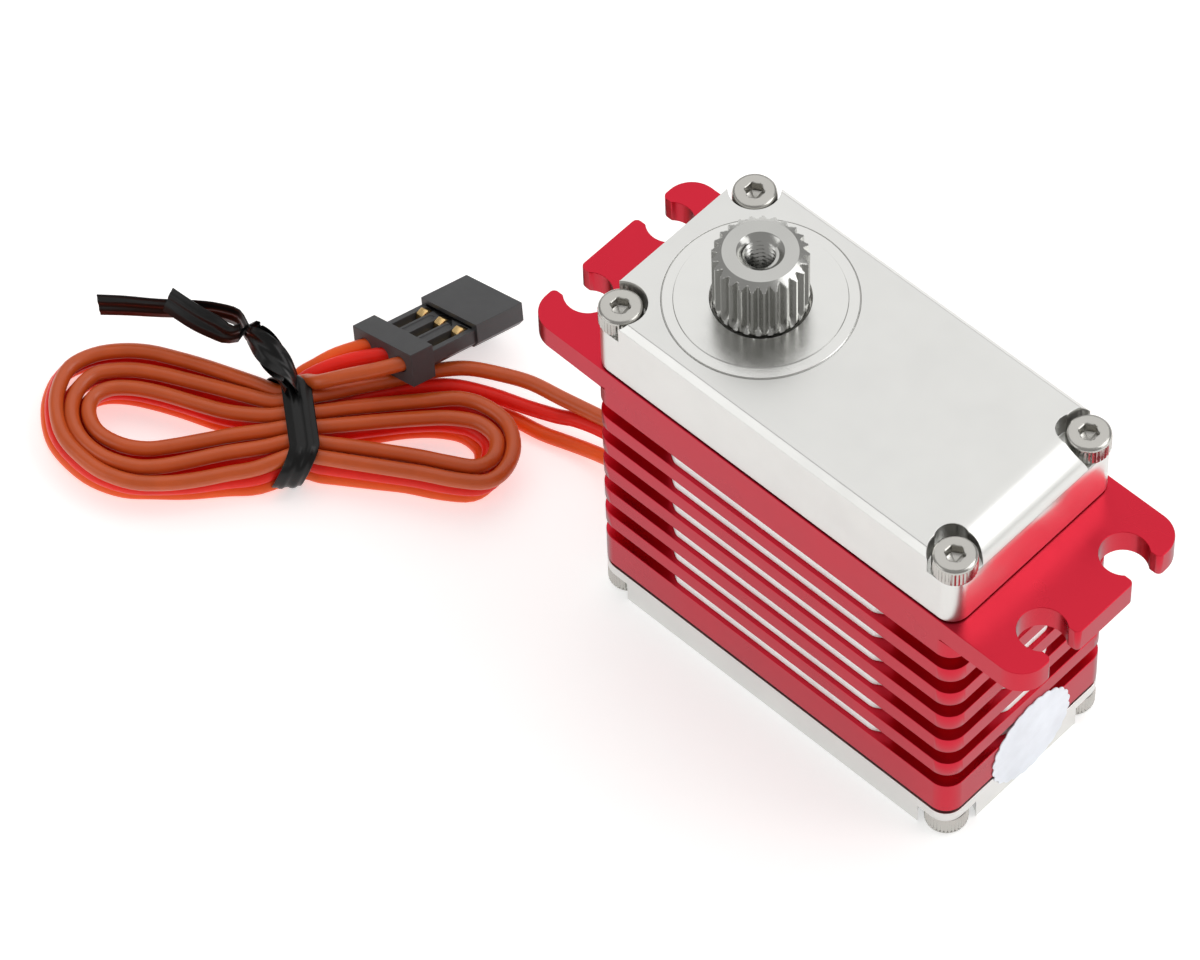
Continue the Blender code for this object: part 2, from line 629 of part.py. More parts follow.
def upper_cover(materials):
    half_x, half_y = CASE_HALF_X - UPPER_COVER_INSET, CASE_HALF_Y - UPPER_COVER_INSET
    cover = prism(
        "upper_cover", rounded_rectangle(half_x, half_y, CASE_CORNER - UPPER_COVER_INSET),
        UPPER_COVER_BOTTOM, UPPER_COVER_TOP, materials["machined_aluminium"],
    )
    boss = circle(BOSS_R, 48, (OUTPUT_X, 0.0))
    unite(cover, prism("shaft_boss", boss, UPPER_COVER_TOP - REACH, UPPER_COVER_TOP + BOSS_HEIGHT))
    subtract(cover, edge_chamfer_cutter(half_x, half_y))
    subtract(cover, end_round_cutter(half_x, half_y))
    subtract(cover, bay_cutter("ceiling_cutter", GEAR_BAY, UPPER_COVER_BOTTOM - PAST, GEAR_CEILING))
    below, above = GEAR_CEILING - REACH, UPPER_COVER_TOP + PAST
    bearing_top = OUTPUT_BEARING[1] + FIT_GAP / 6
    seat = circle(OUTPUT_BEARING_R + FIT_GAP / 6, 32, (OUTPUT_X, 0.0))
    subtract(cover, prism("bearing_seat_cutter", seat, below, bearing_top))
    shaft_hole = circle(SHAFT_HOLE_R, 32, (OUTPUT_X, 0.0))
    subtract(cover, prism("shaft_hole_cutter", shaft_hole, bearing_top - REACH, above))
    axle_socket = circle(AXLE_R + AXLE_CLEARANCE, AXLE_SIDES, (GEAR_AXLE_X, 0.0))
    subtract(cover, prism("axle_socket_cutter", axle_socket, below, AXLE_SOCKET_TOP))
    subtract(cover, corner_cutter("upper_pocket_cutter", UPPER_POCKET_R, UPPER_POCKET_FLOOR, above, 20))
    low, high = UPPER_COVER_BOTTOM - PAST, UPPER_POCKET_FLOOR + REACH
    subtract(cover, corner_cutter("upper_hole_cutter", SCREW_HOLE_R, low, high, 12))


def edge_chamfer_cutter(half_x, half_y):
    bm = bmesh.new()
    for sign in (-1, 1):
        wedge = [
            (sign * (half_y - UPPER_EDGE_CHAMFER - PAST), UPPER_COVER_TOP + PAST),
            (sign * (half_y + PAST), UPPER_COVER_TOP - UPPER_EDGE_CHAMFER - PAST),
            (sign * (half_y + PAST), UPPER_COVER_TOP + PAST),
        ]
        add_prism(bm, wedge, -half_x - PAST, half_x + PAST, along="X")
    return finish("edge_chamfer_cutter", bm, None)


def end_round_cutter(half_x, half_y):
    """What lies outside the rounded top edge of the end away from the shaft."""
    x, z = half_x - UPPER_END_ROUND, UPPER_COVER_TOP - UPPER_END_ROUND
    corner = arc((x, z), UPPER_END_ROUND, 0, 90, 8)
    corner += [(x, UPPER_COVER_TOP + PAST), (half_x + PAST, UPPER_COVER_TOP + PAST), (half_x + PAST, z)]
    return prism("end_round_cutter", corner, -half_y - PAST, half_y + PAST, along="Y")


def gaskets(materials):
    """Thin seals in the two seams, a little inside the case's faces."""
    outer = rounded_rectangle(CASE_HALF_X - GASKET_INSET, CASE_HALF_Y - GASKET_INSET, CASE_CORNER)
    holes = [circle(SCREW_HOLE_R, 8, place) for place in screw_places()]
    seams = (
        ("upper_gasket", GEAR_BAY, MIDDLE_TOP, UPPER_COVER_BOTTOM),
        ("lower_gasket", LOWER_COVER_BAY, LOWER_COVER_TOP, MIDDLE_BOTTOM),
    )
    for name, (half_x, half_y, corner), low, high in seams:
        inner = rounded_rectangle(half_x, half_y, corner, 5)
        gasket = prism(name, outer, low + GASKET_GAP, high - GASKET_GAP, materials["black_rubber"],
                       holes=[inner, *holes])
        if name == "lower_gasket":
            subtract(gasket, grommet_notch("gasket_notch_cutter", low - PAST, high + PAST))


def socket_screw(name, place, head_face, direction, shank, materials):
    """A socket-head screw whose head face is at a height and points up (1) or down (-1)."""
    under = head_face - direction * SCREW_HEAD_HEIGHT
    socket = head_face - direction * HEX_DEPTH
    floor = socket + direction * HEX_OVERLAP
    tip = under - direction * shank
    bm = bmesh.new()
    head, hexagon = circle(SCREW_HEAD_R, 18, place), circle(HEX_R, 6, place)
    add_prism(bm, head, *sorted((socket, head_face)), holes=[hexagon])
    screw = finish(name, bm, materials["stainless_steel"])
    profile = [
        (0, floor), (SCREW_HEAD_R, floor), (SCREW_HEAD_R, under),
        (SCREW_SHANK_R, under), (SCREW_SHANK_R, tip), (0, tip),
    ]
    unite(screw, lathe(name + "_shank", profile, 18, centre=place))


def case_screws(materials):
    for i, place in enumerate(screw_places(), start=1):
        socket_screw(f"upper_screw_{i}", place, UPPER_HEAD_TOP, 1, UPPER_SHANK, materials)
        socket_screw(f"lower_screw_{i}", place, LOWER_HEAD_BOTTOM, -1, LOWER_SHANK, materials)


def cable_grommet(materials):
    """Rubber block in the end wall, which the three wires come out of."""
    centre = (0.0, GROMMET_MIDDLE)
    outline = rounded_rectangle(GROMMET_HALF_WIDTH, GROMMET_HALF_HEIGHT, GROMMET_CORNER, 3, centre)
    prism("cable_grommet", outline, GROMMET_FACE, GROMMET_BACK, materials["black_rubber"], along="X")


def end_label(materials):
    """A scalloped paper seal stuck over the case's seam, on the end away from the lead."""
    points = []
    count = 2 * LABEL_SCALLOPS
    for i in range(count):
        angle = 2 * math.pi * i / count
        radius = LABEL_PEAK_R if i % 2 else LABEL_DIP_R
        points.append((LABEL_CENTRE[0] + radius * math.cos(angle), LABEL_CENTRE[1] + radius * math.sin(angle)))
    low, high = CASE_HALF_X + LABEL_GAP, CASE_HALF_X + LABEL_GAP + LABEL_THICKNESS
    prism("end_label", points, low, high, materials["label_white"], along="X")


# ---------------------------------------------------------------- gear train

def stage_gear(name, axis_x, stage, role, facing, bore_r, bore_sides, materials):
    """A wheel or a pinion, turned so that its teeth are in mesh with its neighbour's at rest."""
    teeth = stage[role]
    if role == "pinion":
        outline = gear_outline(stage["module"], teeth, facing, PINION_ADDENDUM, PINION_DEDENDUM, 2)
    else:
        phase = facing + math.pi / teeth
        outline = gear_outline(stage["module"], teeth, phase, WHEEL_ADDENDUM, WHEEL_DEDENDUM, 1)
    bm = bmesh.new()
    add_prism(bm, outline, stage["low"], stage["high"], holes=[circle(bore_r, bore_sides)])
    gear = finish(name, bm, materials["gear_steel"])
    gear.location = (axis_x, 0.0, 0.0)
    return gear


def gear_hub(target, name, axis_x, radius, bore_r, bore_sides, wheel, pinion):
    """A plain sleeve that joins a pinion's underside, on which the wheel below it is pressed."""
    low, high = wheel["low"], pinion["low"] + HUB_SINK
    hub = prism(name, circle(radius, HUB_SIDES), low, high, holes=[circle(bore_r, bore_sides)])
    hub.location = (axis_x, 0.0, 0.0)
    unite(target, hub)


def gear_train(materials):
    first, second, third, fourth = STAGES
    left, right = math.pi, 0.0
    axle_bore = AXLE_R + AXLE_CLEARANCE
    stem_bore = STEM_R + AXLE_CLEARANCE
    axle_hub, stem_hub = AXLE_HUB_R, STEM_HUB_R
    stage_gear("motor_pinion", MOTOR_X, first, "pinion", left, ROTOR_SHAFT_R + PRESS_GAP, AXLE_SIDES, materials)
    wheel_bore = axle_hub + PRESS_GAP
    stage_gear("first_wheel", GEAR_AXLE_X, first, "wheel", right, wheel_bore, HUB_SIDES, materials)
    pinion = stage_gear("first_pinion", GEAR_AXLE_X, second, "pinion", left, axle_bore, AXLE_SIDES, materials)
    gear_hub(pinion, "first_hub", GEAR_AXLE_X, axle_hub, axle_bore, AXLE_SIDES, first, second)
    stage_gear("second_wheel", OUTPUT_X, second, "wheel", right, stem_hub + PRESS_GAP, HUB_SIDES, materials)
    pinion = stage_gear("second_pinion", OUTPUT_X, third, "pinion", right, stem_bore, STEM_SIDES, materials)
    gear_hub(pinion, "second_hub", OUTPUT_X, stem_hub, stem_bore, STEM_SIDES, second, third)
    stage_gear("third_wheel", GEAR_AXLE_X, third, "wheel", left, wheel_bore, HUB_SIDES, materials)
    pinion = stage_gear("third_pinion", GEAR_AXLE_X, fourth, "pinion", left, axle_bore, AXLE_SIDES, materials)
    gear_hub(pinion, "third_hub", GEAR_AXLE_X, axle_hub, axle_bore, AXLE_SIDES, third, fourth)
    seat_bore = SEAT_R + PRESS_GAP
    stage_gear("output_gear", OUTPUT_X, fourth, "wheel", right, seat_bore, 2 * SPLINE_TEETH, materials)
    rod("gear_axle", AXLE_R, AXLE, AXLE_SIDES, (GEAR_AXLE_X, 0.0), materials["stainless_steel"])


def output_shaft(materials):
    """Stem, gear seat, bearing journal and splined end, with a bore for the horn screw on top."""
    count = 2 * SPLINE_TEETH

    def ring(radius, height, tooth_depth=0.0):
        points = []
        for i in range(count):
            r = radius - tooth_depth * (i % 2)
            angle = 2 * math.pi * i / count
            points.append((r * math.cos(angle), r * math.sin(angle), height))
        return points

    depth = SPLINE_TIP_R - SPLINE_ROOT_R
    socket = POT_SHAFT_R + FIT_GAP / 6
    rings = [
        ring(socket, STEM_SOCKET_TOP),
        ring(socket, STEM_BOTTOM),
        ring(STEM_R, STEM_BOTTOM),
        ring(STEM_R, GEAR_SEAT[0]),
        ring(SEAT_R, GEAR_SEAT[0]),
        ring(SEAT_R, GEAR_SEAT[1]),
        ring(SHAFT_R, GEAR_SEAT[1]),
        ring(SHAFT_R, JOURNAL_TOP),
        ring(SPLINE_ROOT_R, NECK_BOTTOM),
        ring(SPLINE_ROOT_R, SPLINE_BOTTOM),
        ring(SPLINE_TIP_R, SPLINE_BOTTOM, depth),
        ring(SPLINE_TIP_R, SPLINE_TOP - SPLINE_CHAMFER, depth),
        ring(SPLINE_ROOT_R, SPLINE_TOP),
        ring(HORN_BORE_MOUTH_R, SPLINE_TOP),
        ring(HORN_BORE_R, SPLINE_TOP - HORN_BORE_MOUTH_DEPTH),
        ring(HORN_BORE_R, HORN_BORE_BOTTOM),
    ]
    bm = bmesh.new()
    add_loft(bm, rings)
    shaft = finish("output_shaft", bm, materials["gear_steel"])
    shaft.location = (OUTPUT_X, 0.0, 0.0)


def ring_solid(name, inner_r, outer_r, heights, segments, centre, material, origin=(0.0, 0.0, 0.0)):
    """A plain ring about a vertical axis."""
    low, high = heights
    profile = [(inner_r, low), (outer_r, low), (outer_r, high), (inner_r, high)]
    return lathe(name, profile, segments, material, centre, origin)


def rod(name, radius, heights, segments, centre, material, origin=(0.0, 0.0, 0.0)):
    """A plain round bar about a vertical axis."""
    low, high = heights
    return lathe(name, [(0, low), (radius, low), (radius, high), (0, high)], segments, material, centre, origin)


def bearings(materials):
    steel = materials["stainless_steel"]
    output, motor_axis = (OUTPUT_X, 0.0), (MOTOR_X, 0.0)
    for name, shaft_r, outer_r, heights, segments, centre in (
        ("upper_output_bearing", SHAFT_R, OUTPUT_BEARING_R, OUTPUT_BEARING, 28, output),
        ("lower_output_bearing", STEM_R, STEM_BEARING_R, STEM_BEARING, 24, output),
        ("front_motor_bearing", ROTOR_SHAFT_R, MOTOR_BEARING_R, FRONT_BEARING, 16, motor_axis),
        ("rear_motor_bearing", ROTOR_SHAFT_R, MOTOR_BEARING_R, REAR_BEARING, 16, motor_axis),
    ):
        ring_solid(name, shaft_r + BEARING_GAP, outer_r, heights, segments, centre, steel)


# ---------------------------------------------------------------- motor and electronics

def motor(materials):
    centre = (MOTOR_X, 0.0)
    origin = (MOTOR_X, 0.0, 0.0)
    inner_r = CAN_R - CAN_WALL
    seat_r, boss_r = MOTOR_BEARING_SEAT_R, MOTOR_BEARING_BOSS_R
    lathe("motor_can", [
        (inner_r, CAN_BOTTOM), (CAN_R, CAN_BOTTOM), (CAN_R, CAN_TOP), (seat_r, CAN_TOP),
        (seat_r, FRONT_BEARING[0]), (boss_r, FRONT_BEARING[0]),
        (boss_r, CAN_TOP - CAN_WALL), (inner_r, CAN_TOP - CAN_WALL),
    ], 32, materials["machined_aluminium"], centre)
    cap_r = inner_r - BEARING_GAP
    ring_solid("motor_end_cap", seat_r, cap_r, REAR_BEARING, 32, centre, materials["black_plastic"])
    ring_solid("stator_ring", *STATOR[:2], STATOR[2:], 28, centre, materials["lamination_steel"])
    ring_solid("motor_winding", *WINDING[:2], WINDING[2:], 28, centre, materials["copper"])
    ring_solid("rotor_magnet", ROTOR_SHAFT_R + PRESS_GAP, MAGNET_R, MAGNET, 20, centre,
               materials["magnet_dark"], origin)
    rod("rotor_shaft", ROTOR_SHAFT_R, ROTOR_SHAFT, AXLE_SIDES, centre, materials["stainless_steel"], origin)
    tip, under, top = MOTOR_SCREW_HEIGHTS
    head_r, shank_r = MOTOR_SCREW_HEAD_R, MOTOR_SCREW_SHANK_R
    for i, sign in enumerate((-1, 1), start=1):
        lathe(f"motor_screw_{i}", [
            (0, top), (head_r, top), (head_r, under), (shank_r, under), (shank_r, tip), (0, tip),
        ], 12, materials["stainless_steel"], (MOTOR_X, sign * MOTOR_SCREW_OFFSET))
    for i, (x, y) in enumerate(MOTOR_LEAD_PLACES, start=1):
        route = [(x, y, 0.00635), (x - 0.0002, y, 0.0060), (x - 0.0003, y, 0.0056)]
        wire(f"motor_lead_{i}", route, MOTOR_LEAD_R, materials["copper"])


def position_sensor(materials):
    centre = (OUTPUT_X, 0.0)
    bottom, bore_bottom, top = SENSOR_HEIGHTS
    lathe("potentiometer_body", [
        (0, bottom), (SENSOR_R, bottom), (SENSOR_R, top), (SENSOR_BORE_R, top), (SENSOR_BORE_R, bore_bottom),
        (0, bore_bottom),
    ], 24, materials["black_plastic"], centre)
    rod("potentiometer_shaft", POT_SHAFT_R, SENSOR_SHAFT, 12, centre, materials["stainless_steel"],
        (OUTPUT_X, 0.0, 0.0))


def control_board(materials):
    half_x, half_y, corner = BOARD
    outline = rounded_rectangle(half_x, half_y, corner, 3)
    prism("circuit_board", outline, *BOARD_HEIGHTS, materials["board_green"])
    for name, edges in CHIPS.items():
        prism(name, box_outline(*edges), *CHIP_HEIGHTS, materials["chip_black"])
    rod("storage_capacitor", CAPACITOR_R, CAPACITOR, 20, CAPACITOR_CENTRE, materials["machined_aluminium"])


# ---------------------------------------------------------------- lead

def connector_matrix():
    width = CONNECTOR_WIDTH_AXIS.normalized()
    length = CONNECTOR_LENGTH_AXIS
    length = (length - length.dot(width) * width).normalized()
    up = width.cross(length)
    matrix = Matrix((width, length, up)).transposed().to_4x4()
    matrix.translation = CONNECTOR_ORIGIN
    return matrix


def connector(materials):
    """Three-pole plug: a block with a chamfered underside, an open middle and a wider rear flange."""
    matrix = connector_matrix()
    half, chamfer, height = CONNECTOR_HALF_WIDTH, CONNECTOR_CHAMFER, CONNECTOR_HEIGHT
    block = [
        (-half + chamfer, 0.0), (half - chamfer, 0.0), (half, chamfer),
        (half, height), (-half, height), (-half, chamfer),
    ]
    plastic = materials["black_plastic"]
    housing = prism("connector_housing", block, FIT_GAP, CONNECTOR_LENGTH, plastic, along="Y")
    flange = box_outline(-FLANGE_HALF_WIDTH, FLANGE_HALF_WIDTH, FLANGE_LOW, FLANGE_HIGH)
    unite(housing, place(prism("connector_flange", flange, 0.0, FLANGE_LENGTH, along="Y"), matrix))
    windows, sockets = bmesh.new(), bmesh.new()
    for i in (-1, 0, 1):
        middle = i * CONTACT_PITCH
        window = box_outline(middle - WINDOW_HALF, middle + WINDOW_HALF, WINDOW_START, WINDOW_END)
        add_prism(windows, window, WINDOW_FLOOR, height + PAST)
        socket = box_outline(middle - SOCKET_HALF, middle + SOCKET_HALF, *SOCKET_HEIGHTS)
        add_prism(sockets, socket, WINDOW_END + SOCKET_WALL, CONNECTOR_LENGTH + PAST, along="Y")
    subtract(housing, place(finish("connector_window_cutter", windows, None), matrix))
    subtract(housing, place(finish("connector_socket_cutter", sockets, None), matrix))
    place(housing, matrix)
    for i, name in enumerate(("left", "middle", "right"), start=-1):
        middle = i * CONTACT_PITCH
        start, end = WINDOW_START + FIT_GAP, WINDOW_END - FIT_GAP
        strip = box_outline(middle - SOCKET_HALF, middle + SOCKET_HALF, start, end)
        low = WINDOW_FLOOR + CONTACT_GAP
        contact = prism(f"contact_{name}", strip, low, low + CONTACT_HEIGHT, materials["gold"])
        place(contact, matrix)


def place(obj, matrix):
    obj.matrix_world = matrix
    return obj


def lead_wires(materials):
    for colour, route in SERVO_LEAD.items():
        wire(f"servo_lead_{colour}", route, WIRE_R, materials[f"wire_{colour}"])
    matrix = connector_matrix()
    for i, (colour, route) in enumerate(reversed(PLUG_LEAD.items()), start=-1):
        across = i * CONTACT_PITCH
        ends = [matrix @ Vector((across, -back, WIRE_AXIS_HEIGHT)) for back in (PLUG_LEAD_STRAIGHT, FIT_GAP)]
        route = [*route, *[tuple(end) for end in ends]]
        wire(f"plug_lead_{colour}", smooth_open(route, 2), WIRE_R, materials[f"wire_{colour}"])


def lead_hank(materials):
    prism("lead_hank", HANK_OUTLINE, HANK_BOTTOM, HANK_TOP, materials["wire_brown"])


def twist_tie(materials):
    """A flat band round the hank's waist."""
    outer = rounded_rectangle(TIE_HALF_SPAN, TIE_HALF_HEIGHT, TIE_CORNER, 3)
    inner = rounded_rectangle(
        TIE_HALF_SPAN - TIE_THICKNESS, TIE_HALF_HEIGHT - TIE_THICKNESS, TIE_CORNER - TIE_THICKNESS, 3)
    band = prism("twist_tie", outer, -TIE_HALF_WIDTH, TIE_HALF_WIDTH, materials["black_plastic"],
                 holes=[inner], along="Y")
    across = TIE_ALONG.cross(Vector((0.0, 0.0, 1.0)))
    matrix = Matrix((across, TIE_ALONG, Vector((0.0, 0.0, 1.0)))).transposed().to_4x4()
    matrix.translation = TIE_CENTRE
    place(band, matrix)


def main():
    for obj in list(bpy.data.objects):
        bpy.data.objects.remove(obj)
    materials = make_materials()
    lower_cover(materials)
    middle_case(materials)
    upper_cover(materials)
    gaskets(materials)
    case_screws(materials)
    cable_grommet(materials)
    end_label(materials)
    gear_train(materials)
    output_shaft(materials)
    bearings(materials)
    motor(materials)
    position_sensor(materials)
    control_board(materials)
    connector(materials)
    lead_wires(materials)
    lead_hank(materials)
    twist_tie(materials)


main()
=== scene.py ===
"""Looks of a standard-size servo motor: metal case, splined shaft, and a three-wire lead in a hank."""
import json
import math

import bmesh
import bpy
from mathutils import Matrix, Vector
from mathutils.geometry import tessellate_polygon


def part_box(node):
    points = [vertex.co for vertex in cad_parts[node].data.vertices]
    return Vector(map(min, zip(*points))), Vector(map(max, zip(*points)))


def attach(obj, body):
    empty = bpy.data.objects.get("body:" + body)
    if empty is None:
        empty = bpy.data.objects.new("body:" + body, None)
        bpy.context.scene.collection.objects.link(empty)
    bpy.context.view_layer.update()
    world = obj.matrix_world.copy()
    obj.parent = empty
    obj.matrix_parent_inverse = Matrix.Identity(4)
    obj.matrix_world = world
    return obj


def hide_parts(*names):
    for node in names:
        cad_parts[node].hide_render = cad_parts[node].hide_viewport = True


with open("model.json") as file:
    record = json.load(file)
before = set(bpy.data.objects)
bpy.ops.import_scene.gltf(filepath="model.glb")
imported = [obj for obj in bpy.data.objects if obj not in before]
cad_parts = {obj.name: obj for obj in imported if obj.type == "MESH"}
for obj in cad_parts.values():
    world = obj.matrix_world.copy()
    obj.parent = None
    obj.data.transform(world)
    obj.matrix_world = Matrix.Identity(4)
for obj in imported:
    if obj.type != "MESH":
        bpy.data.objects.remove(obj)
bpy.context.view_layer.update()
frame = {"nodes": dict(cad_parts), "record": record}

MM = 0.001
UP = Vector((0.0, 0.0, 1.0))

# Case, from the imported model's own boxes
LOWER_COVER_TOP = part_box("lower_cover")[1][2]
MIDDLE_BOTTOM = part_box("middle_case")[0][2]
LUG_HALF_X, CASE_HALF_Y, MIDDLE_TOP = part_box("middle_case")[1]
CASE_HALF_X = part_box("lower_cover")[1][0]
BOSS_HEIGHT = 0.0003
COVER_HALF_X, COVER_HALF_Y, BOSS_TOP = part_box("upper_cover")[1]
COVER_TOP = BOSS_TOP - BOSS_HEIGHT
COVER_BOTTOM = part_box("upper_cover")[0][2]
CASE_CORNER = 0.0018
COVER_CORNER = CASE_CORNER - (CASE_HALF_X - COVER_HALF_X)
EDGE = 0.00008

# How far a cutter runs past the metal, and into another cutter or body
PAST = 0.001
OVERLAP = 0.0005

# Upper cover
END_ROUND = 0.0032
EDGE_CHAMFER = 0.0006
POCKET_RELIEF_R = 0.00147
POCKET_RELIEF_PLACES = [(0.01725, y) for y in (-0.0073, 0.0073)]

# Ring round the shaft, the outer profile as radii and heights above the cover
BOSS_FOOT_R = 0.0081
BOSS_TOP_R = 0.00714
BOSS_PROFILE = (
    (BOSS_FOOT_R, 0.00002), (BOSS_FOOT_R - 0.00004, 0.00005), (BOSS_TOP_R + 0.00006, 0.00008),
    (BOSS_TOP_R, 0.00018),
)
BOSS_SUNK = 0.00005
BOSS_LINE_WIDTH = 0.00007
BOSS_LINE_DEPTH = 0.0001
BOSS_LINE_LAP = 0.00001

# Lugs
LUG_BOTTOM = 0.02886
LUG_CORNER = 0.0025
LUG_HOLE = (0.0250, 0.0050)
LUG_HOLE_R = 0.0021
LUG_SLOT_HALF = 0.00157
LUG_SLOT_FLARE = 0.0005

# Cooling grooves
GROOVE_TOPS = (0.0266, 0.02315, 0.0197, 0.0162, 0.0127, 0.00925)
GROOVE_HEIGHT = 0.00168
GROOVE_DEEP = 0.0013
GROOVE_SHALLOW = 0.00040
GROOVE_SIDE_FLAT, GROOVE_SIDE_RAMP = 0.0108, 0.0128
GROOVE_END_FLAT, GROOVE_END_RAMP = 0.0020, 0.0040
GROOVE_INNER_CORNER = 0.0010

# Axes
OUTPUT_X = -0.0101
GEAR_AXLE_X = 0.0004
MOTOR_X = 0.00985

# Inner spaces, a bay being its half length, half width and corner
GEAR_BAY = (0.01875, 0.0086, 0.0060)
GEAR_FLOOR, GEAR_CEILING = 0.0300, 0.0357
BAY_TOP = 0.0263
ELECTRONICS_BAY = (0.0100, 0.0080, 0.0030)
ELECTRONICS_BAY_X = -0.0080
MOTOR_BAY_R = 0.00835
BOARD_BAY = (0.0175, 0.0080, 0.0060)
BOARD_BAY_TOP = 0.0062
LOWER_COVER_FLOOR = 0.0012
STEM_SEAT_R, STEM_SEAT_BOTTOM = 0.00405, 0.0270
STEM_HOLE_R = 0.0024
COVER_SEAT_R, COVER_SEAT_TOP = 0.00605, 0.03815
MOTOR_HOLE_R = 0.0023
AXLE_HOLE_R = 0.00079
AXLE_HOLE_BOTTOM, AXLE_HOLE_TOP = 0.0275, 0.0373
MOTOR_SCREW_PLACES = [(MOTOR_X, y) for y in (-0.0055, 0.0055)]
MOTOR_SCREW_SINK_R, MOTOR_SCREW_SINK_FLOOR = 0.0021, 0.02875
MOTOR_SCREW_HOLE_R = 0.00105

# Screws
SCREW_PLACES = [(sx * 0.01822, sy * 0.00806) for sx in (-1, 1) for sy in (-1, 1)]
SCREW_HEAD_R = 0.0019
SCREW_HEAD_FOOT_R = 0.00178
SCREW_HEAD_HEIGHT = 0.0020
SCREW_HEAD_EDGE = (
    (0.00150, 0.0), (0.00166, 0.00003), (0.00179, 0.00011), (0.00186, 0.00022), (0.00188, 0.00036),
)
SCREW_SHANK_R = 0.00095
SCREW_TIP_CHAMFER = 0.0003
SCREW_HOLE_R = 0.00115
UPPER_SHANK_LENGTH, LOWER_SHANK_LENGTH = 0.0088, 0.0046
UPPER_THREAD_BOTTOM, LOWER_THREAD_TOP = 0.0272, 0.0072
HEX_APOTHEM = 0.00075
HEX_MOUTH_R = 0.0008925
HEX_DEPTH = 0.0010
HEX_POINT = 0.0003
HEX_RIM = 0.00006
KNURLS = 36
KNURL_DEPTH = 0.00010
KNURL_TOP, KNURL_BOTTOM = 0.00042, 0.00178
UPPER_POCKET_R = 0.00225
UPPER_POCKET_FLOOR = 0.03668
UPPER_HEAD_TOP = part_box("upper_screw_1")[1][2]
LOWER_POCKET_R = 0.00245
LOWER_POCKET_TOP = 0.00225
LOWER_HEAD_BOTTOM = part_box("lower_screw_1")[0][2]

# Output shaft, the stem's profile and the run-out's levels upwards
STEM_PROFILE = (
    (0, 0.0300), (0.00125, 0.0300), (0.00125, 0.02705), (0.0020, 0.02705), (0.0020, 0.0337),
    (0.0025, 0.0337), (0.0025, 0.0355), (0.00398, 0.0355), (0.00398, 0.0391),
)
SPLINE_TEETH = 25
SPLINE_TIP_R = 0.0040
SPLINE_ROOT_R = 0.00350
SPLINE_RUNOUT = (0.0392, 0.0394, 0.0396, 0.0398, 0.0400, 0.0403)
SPLINE_CHAMFER = 0.0005
SHAFT_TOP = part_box("output_shaft")[1][2]
SHAFT_HOLE_R = 0.004165
SHAFT_FACE_R = 0.00315
BORE_MOUTH_R = 0.00198
BORE_CHAMFER_R, BORE_CHAMFER_DEPTH = 0.00190, 0.00006
BORE_BOTTOM, BORE_POINT = 0.0370, 0.0366
THREAD_MINOR_R, THREAD_MAJOR_R, THREAD_PITCH = 0.00124, 0.0015, 0.0005
THREAD_START = 0.00048
THREAD_MOUTH_R = 0.00152
THREAD_BOTTOM, THREAD_END = 0.0408, 0.0406
THREAD_STEPS = 8
THREAD_SLOPE = 2.2

# Lead
WIRE_R = 0.00068
WIRE_PITCH = 0.00145
WIRE_LEVELS = {"brown": 0.0035, "red": 0.0021, "orange": 0.0007}
EXIT_HEIGHT = 0.0037

# Grommet: its outline, its ends and its collars' ends along X, and its notch in the case
GROMMET_HALF_WIDTH, GROMMET_HALF_HEIGHT, GROMMET_CORNER = 0.0029, 0.0014, 0.0007
GROMMET_MIDDLE = 0.00372
GROMMET_X = (-0.0212, -0.0178)
COLLAR_WALL = 0.0002
COLLAR_GAP = 0.00002
COLLAR_X = (-0.0214, -0.0205)
COLLAR_HOLE_X = (-0.0220, -0.0209)
GROMMET_NOTCH = (-0.0210, -0.0176, -0.0031, 0.0031)
GROMMET_NOTCH_BOTTOM, GROMMET_NOTCH_TOP = 0.0021, 0.00535

# Paper seal
SEAL_CENTRE = (0.0004, 0.0049)
SEAL_DIP_R = 0.00470
SEAL_SCALLOP_HEIGHT = 0.00020
SEAL_SCALLOPS = 24
SEAL_GAP = 0.00002
SEAL_THICKNESS = 0.00008


# ---------------------------------------------------------------- outlines

def arc(centre, radius, start, end, steps):
    """Points from one angle to another, in degrees, both ends included."""
    angles = (math.radians(start + (end - start) * i / steps) for i in range(steps + 1))
    return [(centre[0] + radius * math.cos(a), centre[1] + radius * math.sin(a)) for a in angles]


def circle(radius, count, centre=(0.0, 0.0)):
    return arc(centre, radius, 0, 360, count)[:-1]


def rounded_rectangle(half_x, half_y, radius, steps=10, centre=(0.0, 0.0)):
    x, y = half_x - radius, half_y - radius
    outline = []
    for sign_x, sign_y, start in ((1, 1, 0), (-1, 1, 90), (-1, -1, 180), (1, -1, 270)):
        corner = (centre[0] + sign_x * x, centre[1] + sign_y * y)
        outline += arc(corner, radius, start, start + 90, steps)
    return outline


def box_outline(low_x, high_x, low_y, high_y):
    return [(low_x, low_y), (high_x, low_y), (high_x, high_y), (low_x, high_y)]


def smooth(points, steps):
    """A smooth open curve through the points, with extra points between them."""
    points = [Vector(point) for point in points]
    ends = [2 * points[0] - points[1], *points, 2 * points[-1] - points[-2]]
    result = []
    for a, b, c, d in zip(ends, ends[1:], ends[2:], ends[3:]):
        for step in range(steps):
            t = step / steps
            result.append(0.5 * (2 * b + (c - a) * t + (2 * a - 5 * b + 4 * c - d) * t ** 2
                                 + (3 * b - a - 3 * c + d) * t ** 3))
    return result + [points[-1]]


def directions(points):
    """The way that a line of points runs at each of them."""
    before = points[:1] + points[:-1]
    after = points[1:] + points[-1:]
    return [(end - start).normalized() for start, end in zip(before, after)]


# ---------------------------------------------------------------- meshes

